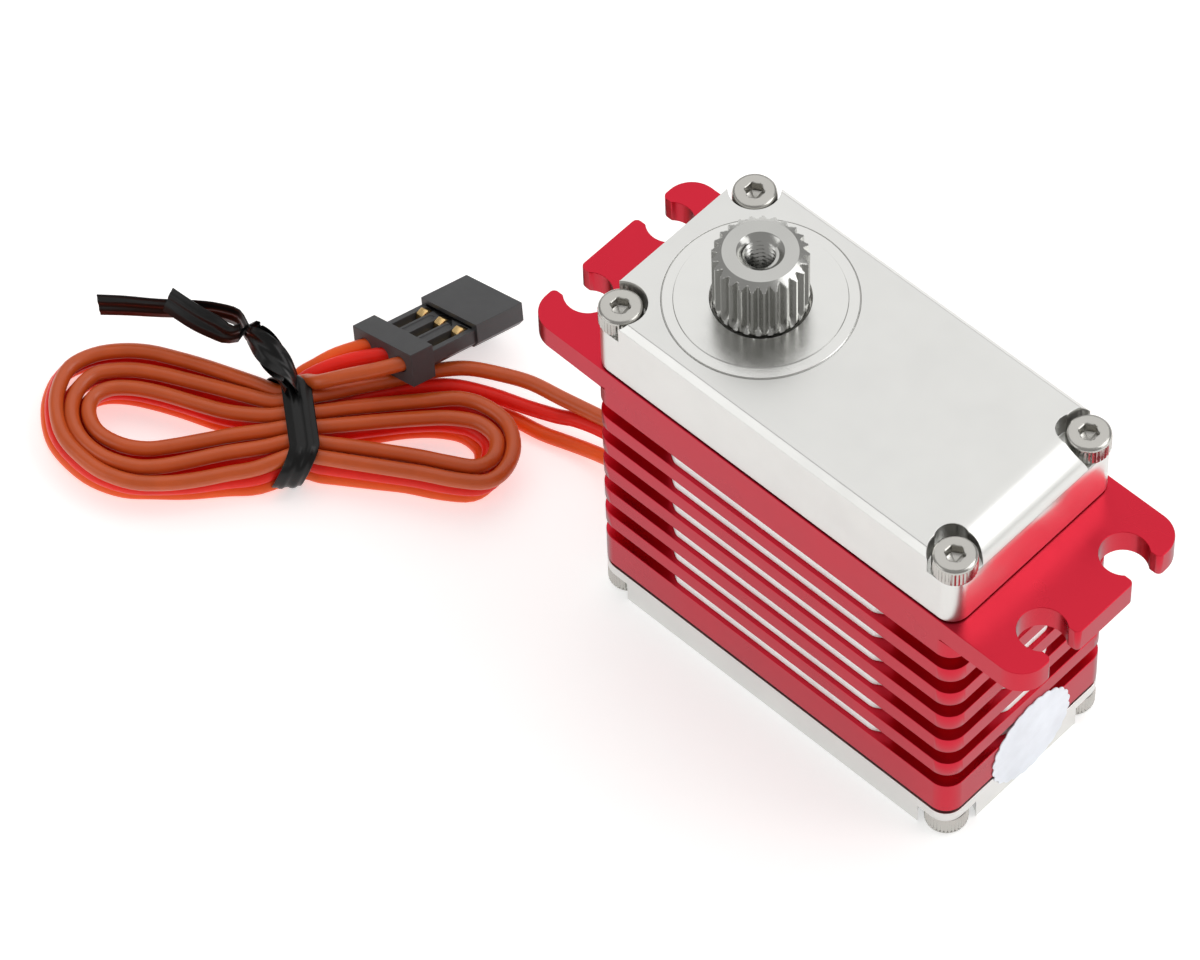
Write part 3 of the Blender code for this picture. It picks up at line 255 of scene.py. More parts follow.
def mesh_object(name, bm, sharp=35):
    bmesh.ops.recalc_face_normals(bm, faces=bm.faces)
    mesh = bpy.data.meshes.new(name)
    bm.to_mesh(mesh)
    bm.free()
    mesh.shade_smooth()
    mesh.set_sharp_from_angle(angle=math.radians(sharp))
    obj = bpy.data.objects.new(name, mesh)
    bpy.context.collection.objects.link(obj)
    return obj


def add_prism(bm, outline, low, high, along="Z", hole=None):
    """A closed solid between two planes, from an outline and perhaps a hole's outline."""
    def place(u, v, w):
        return {"X": (w, u, v), "Y": (u, w, v), "Z": (u, v, w)}[along]

    loops = [outline] if hole is None else [outline, hole]
    bottom = [[bm.verts.new(place(u, v, low)) for u, v in loop] for loop in loops]
    top = [[bm.verts.new(place(u, v, high)) for u, v in loop] for loop in loops]
    if hole is None:
        bm.faces.new(bottom[0])
        bm.faces.new(top[0])
    else:
        for rings in (bottom, top):
            flat = [vertex for ring in rings for vertex in ring]
            for triangle in tessellate_polygon([[vertex.co for vertex in ring] for ring in rings]):
                bm.faces.new([flat[i] for i in triangle])
    for low_ring, high_ring in zip(bottom, top):
        for i in range(len(low_ring)):
            bm.faces.new((low_ring[i - 1], low_ring[i], high_ring[i], high_ring[i - 1]))


def prism(name, outline, low, high, along="Z"):
    bm = bmesh.new()
    add_prism(bm, outline, low, high, along)
    return mesh_object(name, bm)


def prisms(name, outlines, low, high, along="Z"):
    """Several solids of one height in one object, used as a cutter."""
    bm = bmesh.new()
    for outline in outlines:
        add_prism(bm, outline, low, high, along)
    return mesh_object(name, bm)


def turned(name, rings, count, centre=(0.0, 0.0), sharp=30):
    """A loft of (radius, height) rings about a vertical axis, a radius being a number or f(angle)."""
    bm = bmesh.new()
    loops = []
    for radius, height in rings:
        if radius == 0:
            loops.append([bm.verts.new((centre[0], centre[1], height))] * count)
            continue
        loop = []
        for i in range(count):
            angle = 2 * math.pi * i / count
            r = radius(angle) if callable(radius) else radius
            x, y = centre[0] + r * math.cos(angle), centre[1] + r * math.sin(angle)
            loop.append(bm.verts.new((x, y, height)))
        loops.append(loop)
    for first, second in zip(loops, loops[1:]):
        for i in range(count):
            corners = [first[i - 1], first[i], second[i], second[i - 1]]
            bm.faces.new(list(dict.fromkeys(corners)))
    return mesh_object(name, bm, sharp)


def settle(obj, cutters=(), additions=(), edge=EDGE, segments=2, sharp=32):
    """Adds and cuts away the tool objects, rounds the edges finely, and keeps the result as a mesh."""
    for operation, tools in (("UNION", additions), ("DIFFERENCE", cutters)):
        for tool in tools:
            modifier = obj.modifiers.new(tool.name, "BOOLEAN")
            modifier.operation = operation
            modifier.solver = "EXACT"
            modifier.object = tool
    apply_modifiers(obj)
    for tool in (*additions, *cutters):
        bpy.data.objects.remove(tool)
    bm = bmesh.new()
    bm.from_mesh(obj.data)
    bmesh.ops.remove_doubles(bm, verts=bm.verts, dist=1e-7)
    bmesh.ops.dissolve_limit(bm, angle_limit=math.radians(0.5), verts=bm.verts, edges=bm.edges)
    bm.to_mesh(obj.data)
    bm.free()
    if edge:
        bevel = obj.modifiers.new("edges", "BEVEL")
        bevel.width = edge
        bevel.segments = segments
        bevel.limit_method = "ANGLE"
        bevel.angle_limit = math.radians(sharp)
        bevel.use_clamp_overlap = False
        apply_modifiers(obj)
    obj.data.shade_smooth()
    obj.data.set_sharp_from_angle(angle=math.radians(sharp))
    weighted = obj.modifiers.new("flat_faces", "WEIGHTED_NORMAL")
    weighted.keep_sharp = True
    apply_modifiers(obj)
    return obj


def apply_modifiers(obj):
    depsgraph = bpy.context.evaluated_depsgraph_get()
    mesh = bpy.data.meshes.new_from_object(obj.evaluated_get(depsgraph))
    obj.modifiers.clear()
    obj.data = mesh


def place(obj, matrix):
    """Moves a mesh into the frame, so that its object stays at the origin."""
    obj.data.transform(matrix)
    return obj


def sweep(name, stations, section, closed=False, sharp=40):
    """A closed section of (across, out) points carried along stations of (centre, across, out)."""
    bm = bmesh.new()
    loops = []
    for centre, across, out in stations:
        loops.append([bm.verts.new(centre + u * across + v * out) for u, v in section])
    count = len(section)
    pairs = list(zip(loops, loops[1:]))
    if closed:
        pairs.append((loops[-1], loops[0]))
    else:
        bm.faces.new(loops[0])
        bm.faces.new(loops[-1])
    for first, second in pairs:
        for i in range(count):
            bm.faces.new((first[i - 1], first[i], second[i], second[i - 1]))
    return mesh_object(name, bm, sharp)


# ---------------------------------------------------------------- materials

class Surface:
    """A Principled material, and short ways to add procedural detail to it."""

    def __init__(self, name, colour, roughness, metallic=0.0, **sockets):
        self.material = bpy.data.materials.new(name)
        self.material.use_nodes = True
        self.tree = self.material.node_tree
        self.shader = self.tree.nodes["Principled BSDF"]
        self.shader.inputs["Base Color"].default_value = (*colour, 1.0)
        self.shader.inputs["Roughness"].default_value = roughness
        self.shader.inputs["Metallic"].default_value = metallic
        for socket, value in sockets.items():
            self.shader.inputs[socket.replace("_", " ")].default_value = value
        self.colour = colour
        self.roughness = roughness
        self.coordinates = self.node("ShaderNodeTexCoord").outputs["Object"]

    def node(self, kind, **inputs):
        node = self.tree.nodes.new(kind)
        for socket, value in inputs.items():
            node.inputs[socket.replace("_", " ")].default_value = value
        return node

    def link(self, output, target):
        self.tree.links.new(output, target)

    def stretched(self, scale, centre=(0.0, 0.0, 0.0)):
        """Object coordinates about a centre, scaled along each axis."""
        mapping = self.node("ShaderNodeMapping")
        mapping.vector_type = "POINT"
        mapping.inputs["Scale"].default_value = scale
        mapping.inputs["Location"].default_value = [-c * s for c, s in zip(centre, scale)]
        self.link(self.coordinates, mapping.inputs["Vector"])
        return mapping.outputs["Vector"]

    def noise(self, size, detail=3.0, stretch=(1.0, 1.0, 1.0)):
        """Noise with features of a size in metres, from 0 to 1."""
        noise = self.node("ShaderNodeTexNoise", Scale=1.0, Detail=detail, Roughness=0.6)
        self.link(self.stretched([s / size for s in stretch]), noise.inputs["Vector"])
        return noise.outputs["Fac"]

    def rings(self, centre, pitch):
        """Fine turning marks about a vertical axis."""
        wave = self.node("ShaderNodeTexWave", Scale=1.0, Distortion=0.6, Detail=2.0)
        wave.wave_type = "RINGS"
        wave.rings_direction = "Z"
        scale = math.pi / (10 * pitch)
        self.link(self.stretched((scale, scale, 0.0), centre), wave.inputs["Vector"])
        return wave.outputs["Fac"]

    def ranged(self, value, low, high):
        ramp = self.node("ShaderNodeMapRange", To_Min=low, To_Max=high)
        ramp.inputs["From Min"].default_value = 0.3
        ramp.inputs["From Max"].default_value = 0.7
        self.link(value, ramp.inputs["Value"])
        return ramp.outputs["Result"]

    def vary_roughness(self, value, spread):
        self.link(self.ranged(value, self.roughness - spread, self.roughness + spread),
                  self.shader.inputs["Roughness"])
        return self

    def vary_colour(self, value, darker, lighter):
        mix = self.node("ShaderNodeMix")
        mix.data_type = "RGBA"
        colours = [socket for socket in mix.inputs if socket.type == "RGBA"]
        colours[0].default_value = (*[c * darker for c in self.colour], 1.0)
        colours[1].default_value = (*[min(1.0, c * lighter) for c in self.colour], 1.0)
        self.link(self.ranged(value, 0.0, 1.0), mix.inputs["Factor"])
        self.link([socket for socket in mix.outputs if socket.type == "RGBA"][0],
                  self.shader.inputs["Base Color"])
        return self

    def bump(self, value, height, strength=1.0):
        """Relief of a height in metres."""
        bump = self.node("ShaderNodeBump", Strength=strength, Distance=height)
        previous = self.shader.inputs["Normal"].links
        if previous:
            self.link(previous[0].from_socket, bump.inputs["Normal"])
        self.link(value, bump.inputs["Height"])
        self.link(bump.outputs["Normal"], self.shader.inputs["Normal"])
        return self


def metal(name, colour, roughness, grain, relief, stretch=(1.0, 1.0, 1.0), metallic=1.0, **sockets):
    surface = Surface(name, colour, roughness, metallic, **sockets)
    fine = surface.noise(grain, 3.0, stretch)
    broad = surface.noise(0.006, 2.0)
    surface.vary_roughness(broad, roughness * 0.15)
    surface.vary_colour(broad, 0.96, 1.03)
    return surface.bump(fine, relief, 0.6)


def moulded(name, colour, roughness, grain=0.00012, relief=0.000006, **sockets):
    surface = Surface(name, colour, roughness, **sockets)
    surface.vary_roughness(surface.noise(0.003), roughness * 0.12)
    surface.vary_colour(surface.noise(0.004), 0.92, 1.08)
    return surface.bump(surface.noise(grain, 2.0), relief, 0.5)


def turned_aluminium():
    """Bare metal with the fine rings that a lathe tool leaves round the shaft."""
    surface = Surface("turned_aluminium", (0.71, 0.71, 0.69), 0.22, 1.0)
    surface.vary_roughness(surface.noise(0.002), 0.04)
    return surface.bump(surface.rings((OUTPUT_X, 0.0, 0.0), 0.00012), 0.000002, 0.5)


def make_materials():
    table = {
        "red_anodised": metal("red_anodised", (0.60, 0.012, 0.034), 0.30, 0.00009, 0.0000016, metallic=0.9,
                              Coat_Weight=0.2, Coat_Roughness=0.25, Specular_Tint=(0.4, 0.8, 0.8, 1.0)),
        "machined_aluminium": metal("machined_aluminium", (0.71, 0.71, 0.69), 0.33, 0.00016, 0.0000015,
                                    (0.25, 1.0, 1.0)),
        "turned_aluminium": turned_aluminium(),
        "groove_silver": metal("groove_silver", (0.95, 0.94, 0.93), 0.55, 0.00010, 0.000001, metallic=0.3),
        "stainless_steel": metal("stainless_steel", (0.50, 0.49, 0.46), 0.24, 0.00012, 0.000002),
        "gear_steel": metal("gear_steel", (0.50, 0.50, 0.48), 0.22, 0.00010, 0.000003, (1.0, 1.0, 0.35)),
        "black_rubber": moulded("black_rubber", (0.020, 0.020, 0.020), 0.75),
        "black_plastic": moulded("black_plastic", (0.044, 0.045, 0.047), 0.42),
        "label_white": moulded("label_white", (0.82, 0.86, 0.92), 0.45),
        "board_green": moulded("board_green", (0.02, 0.16, 0.07), 0.45),
        "chip_black": moulded("chip_black", (0.02, 0.02, 0.02), 0.55),
        "magnet_dark": metal("magnet_dark", (0.16, 0.16, 0.17), 0.35, 0.00015, 0.000002),
        "lamination_steel": metal("lamination_steel", (0.30, 0.30, 0.31), 0.45, 0.0002, 0.00001,
                                  (0.1, 0.1, 1.0)),
        "copper": metal("copper", (0.72, 0.30, 0.12), 0.30, 0.0002, 0.00002, (0.2, 0.2, 1.0)),
        "gold": metal("gold", (0.85, 0.58, 0.25), 0.25, 0.00010, 0.000002),
        "wire_brown": moulded("wire_brown", (0.60, 0.092, 0.014), 0.32, 0.0006, 0.000012),
        "wire_red": moulded("wire_red", (0.90, 0.022, 0.012), 0.34, 0.0006, 0.000012,
                            Specular_IOR_Level=0.25),
        "wire_orange": moulded("wire_orange", (1.00, 0.12, 0.018), 0.34, 0.0006, 0.000012,
                               Specular_IOR_Level=0.25),
        "tie_black": moulded("tie_black", (0.004, 0.004, 0.004), 0.30, 0.0004, 0.00002,
                             Specular_IOR_Level=0.3),
    }
    return {name: surface.material for name, surface in table.items()}


MATERIALS = make_materials()


def dress(obj, slot, body="case", replaced=(), material=None):
    """Gives a new piece its finish, the body that it moves with, and the nodes it stands for."""
    obj.data.materials.clear()
    obj.data.materials.append(MATERIALS[material or slot])
    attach(obj, body)
    if replaced:
        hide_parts(*replaced)
    return obj


# ---------------------------------------------------------------- camera, floor and light

CAMERA_TARGET = Vector((-0.019461, -0.009975, 0.015))
CAMERA_BACK = Vector((0.4138, -0.4083, 0.8136))
CAMERA_RIGHT = Vector((0.7023, 0.7119, 0.0))
CAMERA_ROLL = math.radians(-2.387)
CAMERA_DISTANCE = 0.556066
CAMERA_LENS = 197.9
CAMERA_SENSOR = 36.0

FLOOR_R = 1.2
FLOOR_THICKNESS = 0.002
FLOOR_GLOW = 0.52
WORLD_STRENGTH = 0.42
LIGHT_AIM = (0.0, -0.005, 0.015)

# Each light's name, size, power in watts and place
LIGHTS = (
    ("overhead", (0.9, 0.9), 1.7, (-0.28, 0.28, 0.62)),
    ("rear", (0.45, 0.45), 1.5, (0.36, 0.36, 0.62)),
    ("front", (0.5, 0.35), 0.65, (-0.32, -0.62, 0.33)),
    ("right", (0.4, 0.3), 0.6, (0.55, 0.28, 0.28)),
)


def make_camera():
    back = CAMERA_BACK.normalized()
    right = CAMERA_RIGHT.normalized()
    up = back.cross(right)
    cos, sin = math.cos(CAMERA_ROLL), math.sin(CAMERA_ROLL)
    rolled_right = cos * right + sin * up
    rolled_up = cos * up - sin * right
    data = bpy.data.cameras.new("camera")
    data.sensor_width = CAMERA_SENSOR
    data.lens = CAMERA_LENS
    data.clip_start = 0.01
    data.clip_end = 20.0
    camera = bpy.data.objects.new("camera", data)
    matrix = Matrix((rolled_right, rolled_up, back)).transposed().to_4x4()
    matrix.translation = CAMERA_TARGET + CAMERA_DISTANCE * back
    camera.matrix_world = matrix
    bpy.context.collection.objects.link(camera)
    bpy.context.scene.camera = camera


def make_light(name, size, energy, position):
    data = bpy.data.lights.new(name, "AREA")
    data.shape = "RECTANGLE"
    data.size, data.size_y = size
    data.energy = energy
    light = bpy.data.objects.new(name, data)
    light.location = position
    light.rotation_euler = (Vector(position) - Vector(LIGHT_AIM)).to_track_quat("Z", "Y").to_euler()
    bpy.context.collection.objects.link(light)


def make_stage():
    world = bpy.data.worlds.new("studio")
    bpy.context.scene.world = world
    world.use_nodes = True
    tree = world.node_tree
    background = tree.nodes["Background"]
    background.inputs["Color"].default_value = (1.0, 0.99, 0.98, 1.0)
    background.inputs["Strength"].default_value = WORLD_STRENGTH
    bpy.context.scene.view_settings.view_transform = "Standard"
    bm = bmesh.new()
    add_prism(bm, circle(FLOOR_R, 64), -FLOOR_THICKNESS, 0.0)
    floor = mesh_object("floor", bm)
    surface = Surface("floor", (0.80, 0.80, 0.79), 0.6)
    surface.shader.inputs["Emission Color"].default_value = (1.0, 1.0, 1.0, 1.0)
    surface.shader.inputs["Emission Strength"].default_value = FLOOR_GLOW
    surface.bump(surface.noise(0.002), 0.00001, 0.2)
    floor.data.materials.append(surface.material)
    for light in LIGHTS:
        make_light(*light)


# ---------------------------------------------------------------- lead

# Each wire's route in millimetres, from the case to the tie, and from the tie to the plug
INSIDE_LENGTH = 1.2
SERVO_LEAD = {
    "brown": (
        (-21.7, 1.45, 3.7), (-24.0, 1.5, 3.8), (-27.0, 1.1, 3.8), (-30.3, 0.5, 3.7), (-33.8, -0.1, 3.5),
        (-36.9, -0.7, 3.5), (-39.5, -1.8, 3.5), (-42.0, -3.2, 3.5), (-43.6, -4.8, 3.5), (-44.9, -6.6, 3.5),
        (-46.2, -8.8, 3.5), (-47.6, -10.9, 3.5), (-48.6, -12.5, 3.5), (-49.3, -13.6, 3.5),
    ),
    "red": (
        (-21.7, 0.0, 3.7), (-25.0, 0.2, 3.3), (-28.8, 0.2, 2.8), (-31.8, -0.3, 2.3), (-33.6, -1.1, 2.1),
        (-36.3, -2.2, 2.1), (-39.2, -3.2, 2.1), (-42.1, -4.6, 2.1), (-44.0, -6.2, 2.1), (-45.4, -7.9, 2.1),
        (-46.6, -9.6, 2.1), (-47.9, -11.5, 2.1), (-48.8, -12.7, 2.1), (-49.5, -13.7, 2.1),
    ),
    "orange": (
        (-21.7, -1.45, 3.7), (-24.0, -1.4, 3.0), (-26.8, -1.2, 1.9), (-29.0, -1.3, 1.2), (-31.4, -1.8, 0.8),
        (-34.0, -2.6, 0.7), (-37.1, -3.2, 0.7), (-39.8, -4.2, 0.7), (-42.2, -5.6, 0.7), (-44.1, -7.1, 0.7),
        (-45.7, -8.8, 0.7), (-47.2, -10.7, 0.7), (-48.4, -12.4, 0.7), (-49.3, -13.5, 0.7),
    ),
}
PLUG_LEAD = {
    "orange": ((-52.4, -14.9, 2.0), (-52.9, -13.5, 2.7), (-52.3, -12.0, 3.3), (-51.3, -10.2, 4.1)),
    "red": ((-52.1, -15.0, 2.9), (-51.9, -13.6, 3.4), (-51.0, -12.0, 4.1), (-49.5, -10.2, 4.9)),
    "brown": (
        (-51.9, -15.0, 3.85), (-51.2, -14.1, 4.1), (-49.8, -13.9, 5.1), (-48.1, -12.3, 5.9),
        (-46.3, -10.4, 6.5),
    ),
}

# Plan of the hank, in millimetres: its loops between the six strands of its waist
LEFT_OUTER = (
    (-52.4, -16.2), (-54.6, -17.0), (-57.1, -17.9), (-59.5, -18.8), (-61.8, -19.8), (-64.0, -20.9),
    (-65.9, -22.4), (-67.4, -24.4), (-68.0, -26.8), (-67.0, -29.2), (-65.3, -31.0), (-63.1, -32.3),
    (-60.5, -32.8), (-57.8, -32.7), (-55.1, -31.7), (-53.0, -30.0), (-51.3, -28.0), (-49.6, -25.5),
    (-48.1, -23.3),
)
LEFT_MIDDLE = (
    (-52.2, -17.4), (-54.4, -18.5), (-57.0, -19.7), (-59.5, -20.9), (-61.9, -22.1), (-64.1, -23.6),
    (-65.8, -25.8), (-65.6, -28.3), (-64.0, -30.4), (-61.6, -31.5), (-58.8, -31.5), (-56.1, -30.4),
    (-54.4, -28.8), (-52.9, -26.6), (-51.3, -24.1), (-49.3, -21.4),
)
LEFT_INNER = (
    (-51.2, -18.5), (-52.9, -19.9), (-54.8, -21.1), (-57.3, -22.2), (-59.9, -23.3), (-62.1, -24.5),
    (-63.7, -26.0), (-64.1, -27.7), (-63.1, -29.2), (-61.1, -30.0), (-58.7, -29.6), (-56.7, -28.4),
    (-55.2, -26.6), (-53.8, -24.6), (-52.2, -22.3), (-50.3, -19.9),
)
RIGHT_OUTER = (
    (-48.6, -15.7), (-46.8, -13.4), (-44.6, -10.8), (-42.4, -8.3), (-40.3, -6.1), (-38.0, -5.2),
    (-35.4, -5.3), (-33.3, -6.7), (-32.2, -8.8), (-32.4, -10.9), (-34.5, -12.6), (-37.2, -14.1),
    (-39.8, -15.7), (-42.7, -17.5), (-45.0, -18.9),
)
RIGHT_INNER = (
    (-47.4, -16.7), (-45.7, -14.8), (-43.5, -12.3), (-41.3, -9.9), (-39.4, -8.1), (-37.2, -6.9),
    (-35.0, -7.1), (-33.8, -8.7), (-34.2, -10.4), (-36.2, -11.7), (-38.6, -13.0), (-41.2, -14.6),
    (-43.7, -16.2), (-46.2, -17.9),
)
WAIST_FIRST = Vector((-51.9, -15.0))
WAIST_STEP = Vector((1.10, -1.00))
WAIST_LIFT = 0.35

# How far each layer of a loop lies from the layer above it, and the points over which that fades out
LEFT_LEAN = Vector((-0.75, 0.05))
RIGHT_LEAN = Vector((-0.75, -0.25))
LEAN_FADE = 3

# Connector: its rear lower edge's middle, and its directions as it leans on the lead
CONNECTOR_ORIGIN = (-0.04673, -0.00818, 0.00451)
CONNECTOR_WIDTH_AXIS = Vector((0.943, -0.031, 0.332))
CONNECTOR_LENGTH_AXIS = Vector((0.109, 0.969, -0.220))

# Connector's sizes, along its own axes: across the three poles, along the wires, and up
CONTACT_PITCH = 0.0024
WIRE_ENTRY = 0.0014
WIRE_ENDS = (-0.0002, 0.0007)
HOUSING_HALF_WIDTH = 0.0038
HOUSING_HEIGHT = 0.0025
HOUSING_END = 0.0122
HOUSING_CHAMFER = 0.0007
MIDDLE_HALF_WIDTH = 0.00355
MIDDLE_HEIGHT = 0.00195
BLOCK_START = 0.0069
FLANGE = (-0.0040, 0.0040, -0.0003, 0.0029)
FLANGE_LENGTH = 0.0018
FLANGE_BACK = 0.0007
WINDOW_HALF = 0.00052
WINDOW_START, WINDOW_END = 0.0021, 0.0067
WINDOW_FLOOR = 0.0006
RIB_HALF = 0.00036
RIB_HALF_LENGTH = 0.0019
RIB_MIDDLE = 0.0042
RIB_RECESS = 0.00008
UNDERCUT = (-0.0031, 0.0031, 0.00135, 0.00205)
UNDERCUT_LENGTHS = (0.0068, 0.0078)
SOCKET_HALF = 0.0005
SOCKET_HEIGHTS = (0.00075, 0.00175)
SOCKET_DEPTH = 0.0030
ENTRY_GAP = 0.00006
ENTRY_END = 0.0012
CONTACT_HALF = 0.00040
CONTACT_LENGTHS = (0.0028, 0.0066)
CONTACT_FLOOR = 0.0009
CONTACT_THICKNESS = 0.00022
TONGUE_HALF = 0.00046
TONGUE_SIDE = ((0.0052, 0.0001), (0.0066, 0.0001), (0.0066, 0.0010), (0.0061, 0.0013), (0.0055, 0.0010))


def connector_matrix():
    width = CONNECTOR_WIDTH_AXIS.normalized()
    length = CONNECTOR_LENGTH_AXIS
    length = (length - length.dot(width) * width).normalized()
    matrix = Matrix((width, length, width.cross(length))).transposed().to_4x4()
    matrix.translation = CONNECTOR_ORIGIN
    return matrix


def hank_route(height, depth):
    """A wire's way through the hank, in millimetres, by its height and the number of layers above it."""
    def strand(number):
        x, y = WAIST_FIRST + (number - 1) * WAIST_STEP
        return [(x, y, height + WAIST_LIFT)]

    def loop(points, lean):
        route = []
        for i, (x, y) in enumerate(points):
            shift = depth * min(1.0, i / LEAN_FADE, (len(points) - 1 - i) / LEAN_FADE) * lean
            route.append((x + shift.x, y + shift.y, height))
        return route

    route = strand(2) + loop(LEFT_MIDDLE, LEFT_LEAN)
    route += strand(5) + loop(RIGHT_INNER, RIGHT_LEAN)[::-1]
    route += strand(4) + loop(LEFT_INNER, LEFT_LEAN)[::-1]
    route += strand(3) + loop(RIGHT_OUTER, RIGHT_LEAN)
    return route + strand(6) + loop(LEFT_OUTER, LEFT_LEAN)[::-1]


def make_wire(colour, pole):
    """One wire, whose pole in the plug is -1, 0 or 1 and whose layer in the hank goes with it."""
    matrix = connector_matrix()
    ends = [matrix @ Vector((pole * CONTACT_PITCH, along, WIRE_ENTRY)) / MM for along in WIRE_ENDS]
    x, y, z = SERVO_LEAD[colour][0]
    inside = (x + INSIDE_LENGTH, y, z)
    hank = hank_route(WIRE_LEVELS[colour] / MM, 1 - pole)
    route = [inside, *SERVO_LEAD[colour], *hank, *PLUG_LEAD[colour], *ends]
    points = [Vector(point) * MM for point in smooth(route, 4)]
    curve = bpy.data.curves.new("wire_" + colour, "CURVE")
    curve.dimensions = "3D"
    curve.bevel_depth = WIRE_R
    curve.bevel_resolution = 6
    curve.use_fill_caps = True
    spline = curve.splines.new("POLY")
    spline.points.add(len(points) - 1)
    for point, co in zip(spline.points, points):
        point.co = (*co, 1.0)
    spline.use_smooth = True
    wire = bpy.data.objects.new("wire_" + colour, curve)
    bpy.context.collection.objects.link(wire)
    replaced = ["servo_lead_" + colour, "plug_lead_" + colour]
    if colour == "brown":
        replaced.append("lead_hank")
    dress(wire, "wire_" + colour, replaced=replaced)


def make_lead():
    pieces = make_connector() + make_tie()
    for pole, colour in enumerate(("orange", "red", "brown"), start=-1):
        make_wire(colour, pole)


def block_outline(half, height):
    """A plug block's end, with its two lower edges chamfered."""
    chamfer = HOUSING_CHAMFER
    return [
        (-half + chamfer, 0.0), (half - chamfer, 0.0), (half, chamfer),
        (half, height), (-half, height), (-half, chamfer),
    ]


def make_connector():
    """Three-pole plug: a front block, a lower middle with a window at each contact, and a rear flange."""
    housing = prism("plug_housing", block_outline(HOUSING_HALF_WIDTH, HOUSING_HEIGHT),
                    BLOCK_START, HOUSING_END, along="Y")
    middle = prism("plug_middle", block_outline(MIDDLE_HALF_WIDTH, MIDDLE_HEIGHT),
                   FLANGE_LENGTH / 2, BLOCK_START + OVERLAP, along="Y")
    flange = prism("plug_flange", box_outline(*FLANGE), -FLANGE_BACK, FLANGE_LENGTH, along="Y")
    poles = [i * CONTACT_PITCH for i in (-1, 0, 1)]
    windows = prisms("plug_windows", [
        box_outline(x - WINDOW_HALF, x + WINDOW_HALF, WINDOW_START, WINDOW_END) for x in poles
    ], WINDOW_FLOOR, HOUSING_HEIGHT)
    ribs = prisms("plug_ribs", [
        rounded_rectangle(RIB_HALF, RIB_HALF_LENGTH, RIB_HALF * 0.98, 6, (x, RIB_MIDDLE))
        for x in (-CONTACT_PITCH / 2, CONTACT_PITCH / 2)
    ], MIDDLE_HEIGHT - RIB_RECESS, HOUSING_HEIGHT)
    undercut = prism("plug_undercut", box_outline(*UNDERCUT), *UNDERCUT_LENGTHS, along="Y")
    sockets = prisms("plug_sockets", [
        box_outline(x - SOCKET_HALF, x + SOCKET_HALF, *SOCKET_HEIGHTS) for x in poles
    ], HOUSING_END - SOCKET_DEPTH, HOUSING_END + PAST, along="Y")
    entries = prisms("plug_entries", [circle(WIRE_R + ENTRY_GAP, 32, (x, WIRE_ENTRY)) for x in poles],
                     -FLANGE_BACK - PAST, ENTRY_END, along="Y")
    settle(housing, (windows, ribs, undercut, sockets, entries), (middle, flange), edge=0.00006)
    place(housing, connector_matrix())
    dress(housing, "black_plastic", replaced=["connector_housing"])
    return [housing] + [make_contact(name, x) for name, x in zip(("left", "middle", "right"), poles)]


def make_contact(name, x):
    """Folded gold strip in a window, with the springy tongue that stands up at its front end."""
    strip = prism("contact_strip_" + name, box_outline(x - CONTACT_HALF, x + CONTACT_HALF, *CONTACT_LENGTHS),
                  CONTACT_FLOOR, CONTACT_FLOOR + CONTACT_THICKNESS)
    side = [(along, CONTACT_FLOOR + rise) for along, rise in TONGUE_SIDE]
    tongue = prism("contact_tongue_" + name, side, x - TONGUE_HALF, x + TONGUE_HALF, along="X")
    settle(strip, additions=(tongue,), edge=0.0001, segments=3)
    place(strip, connector_matrix())
    return dress(strip, "gold", replaced=["contact_" + name])


# ---------------------------------------------------------------- tie

TIE_CENTRE = Vector((-0.0490, -0.0177, 0.0025))
TIE_ALONG = Vector((0.67, 0.74, 0.0)).normalized()
TIE_ACROSS = TIE_ALONG.cross(UP)
TIE_HALF_SPAN = 0.00515
TIE_HALF_HEIGHT = 0.00216
TIE_CORNER = 0.0019
TIE_SKEW = 0.0009
TIE_SAG = 0.0011
TIE_SAG_MIDDLE = 0.15

# Section of the tie in millimetres, flat inside and with two wires' ridges outside
TIE_SECTION = (
    (-1.30, 0.00), (1.30, 0.00), (1.32, 0.07), (1.25, 0.15), (0.95, 0.16), (0.78, 0.28), (0.50, 0.33),
    (0.26, 0.26), (0.10, 0.17), (-0.20, 0.20), (-0.42, 0.31), (-0.68, 0.28), (-0.85, 0.17), (-1.22, 0.15),
    (-1.32, 0.07),
)

# The ends' shared axis where they are twisted, and then each end's places with its width's direction
TWIST_AXIS = (
    (-50.7, -16.4, 4.8), (-52.0, -15.6, 5.0), (-53.3, -15.2, 5.4), (-54.6, -15.0, 5.9), (-56.0, -14.8, 6.4),
    (-57.3, -14.8, 6.9),
)
TWIST_TURNS = 0.5
TWIST_R = 0.34
END_WIDTH, END_THICKNESS = 0.94, 0.8
LONG_END = (
    ((-58.8, -14.7, 7.1), (0.1, 0.1, 1.0)), ((-60.4, -15.4, 7.3), (0.0, 0.0, 1.0)),
    ((-62.0, -16.6, 7.4), (-0.05, 0.0, 1.0)), ((-64.6, -18.6, 7.2), (-0.1, 0.0, 1.0)),
    ((-67.2, -20.4, 7.0), (-0.15, 0.05, 1.0)), ((-69.1, -21.8, 6.8), (-0.2, 0.05, 1.0)),
)
SHORT_END = (
    ((-57.9, -16.5, 7.3), (0.25, 0.35, 0.9)), ((-59.3, -17.1, 7.7), (0.2, 0.5, 0.8)),
    ((-60.9, -17.6, 8.0), (0.22, 0.57, 0.79)), ((-62.5, -17.9, 8.3), (0.22, 0.57, 0.79)),
    ((-64.0, -18.1, 8.5), (0.22, 0.57, 0.79)),
)


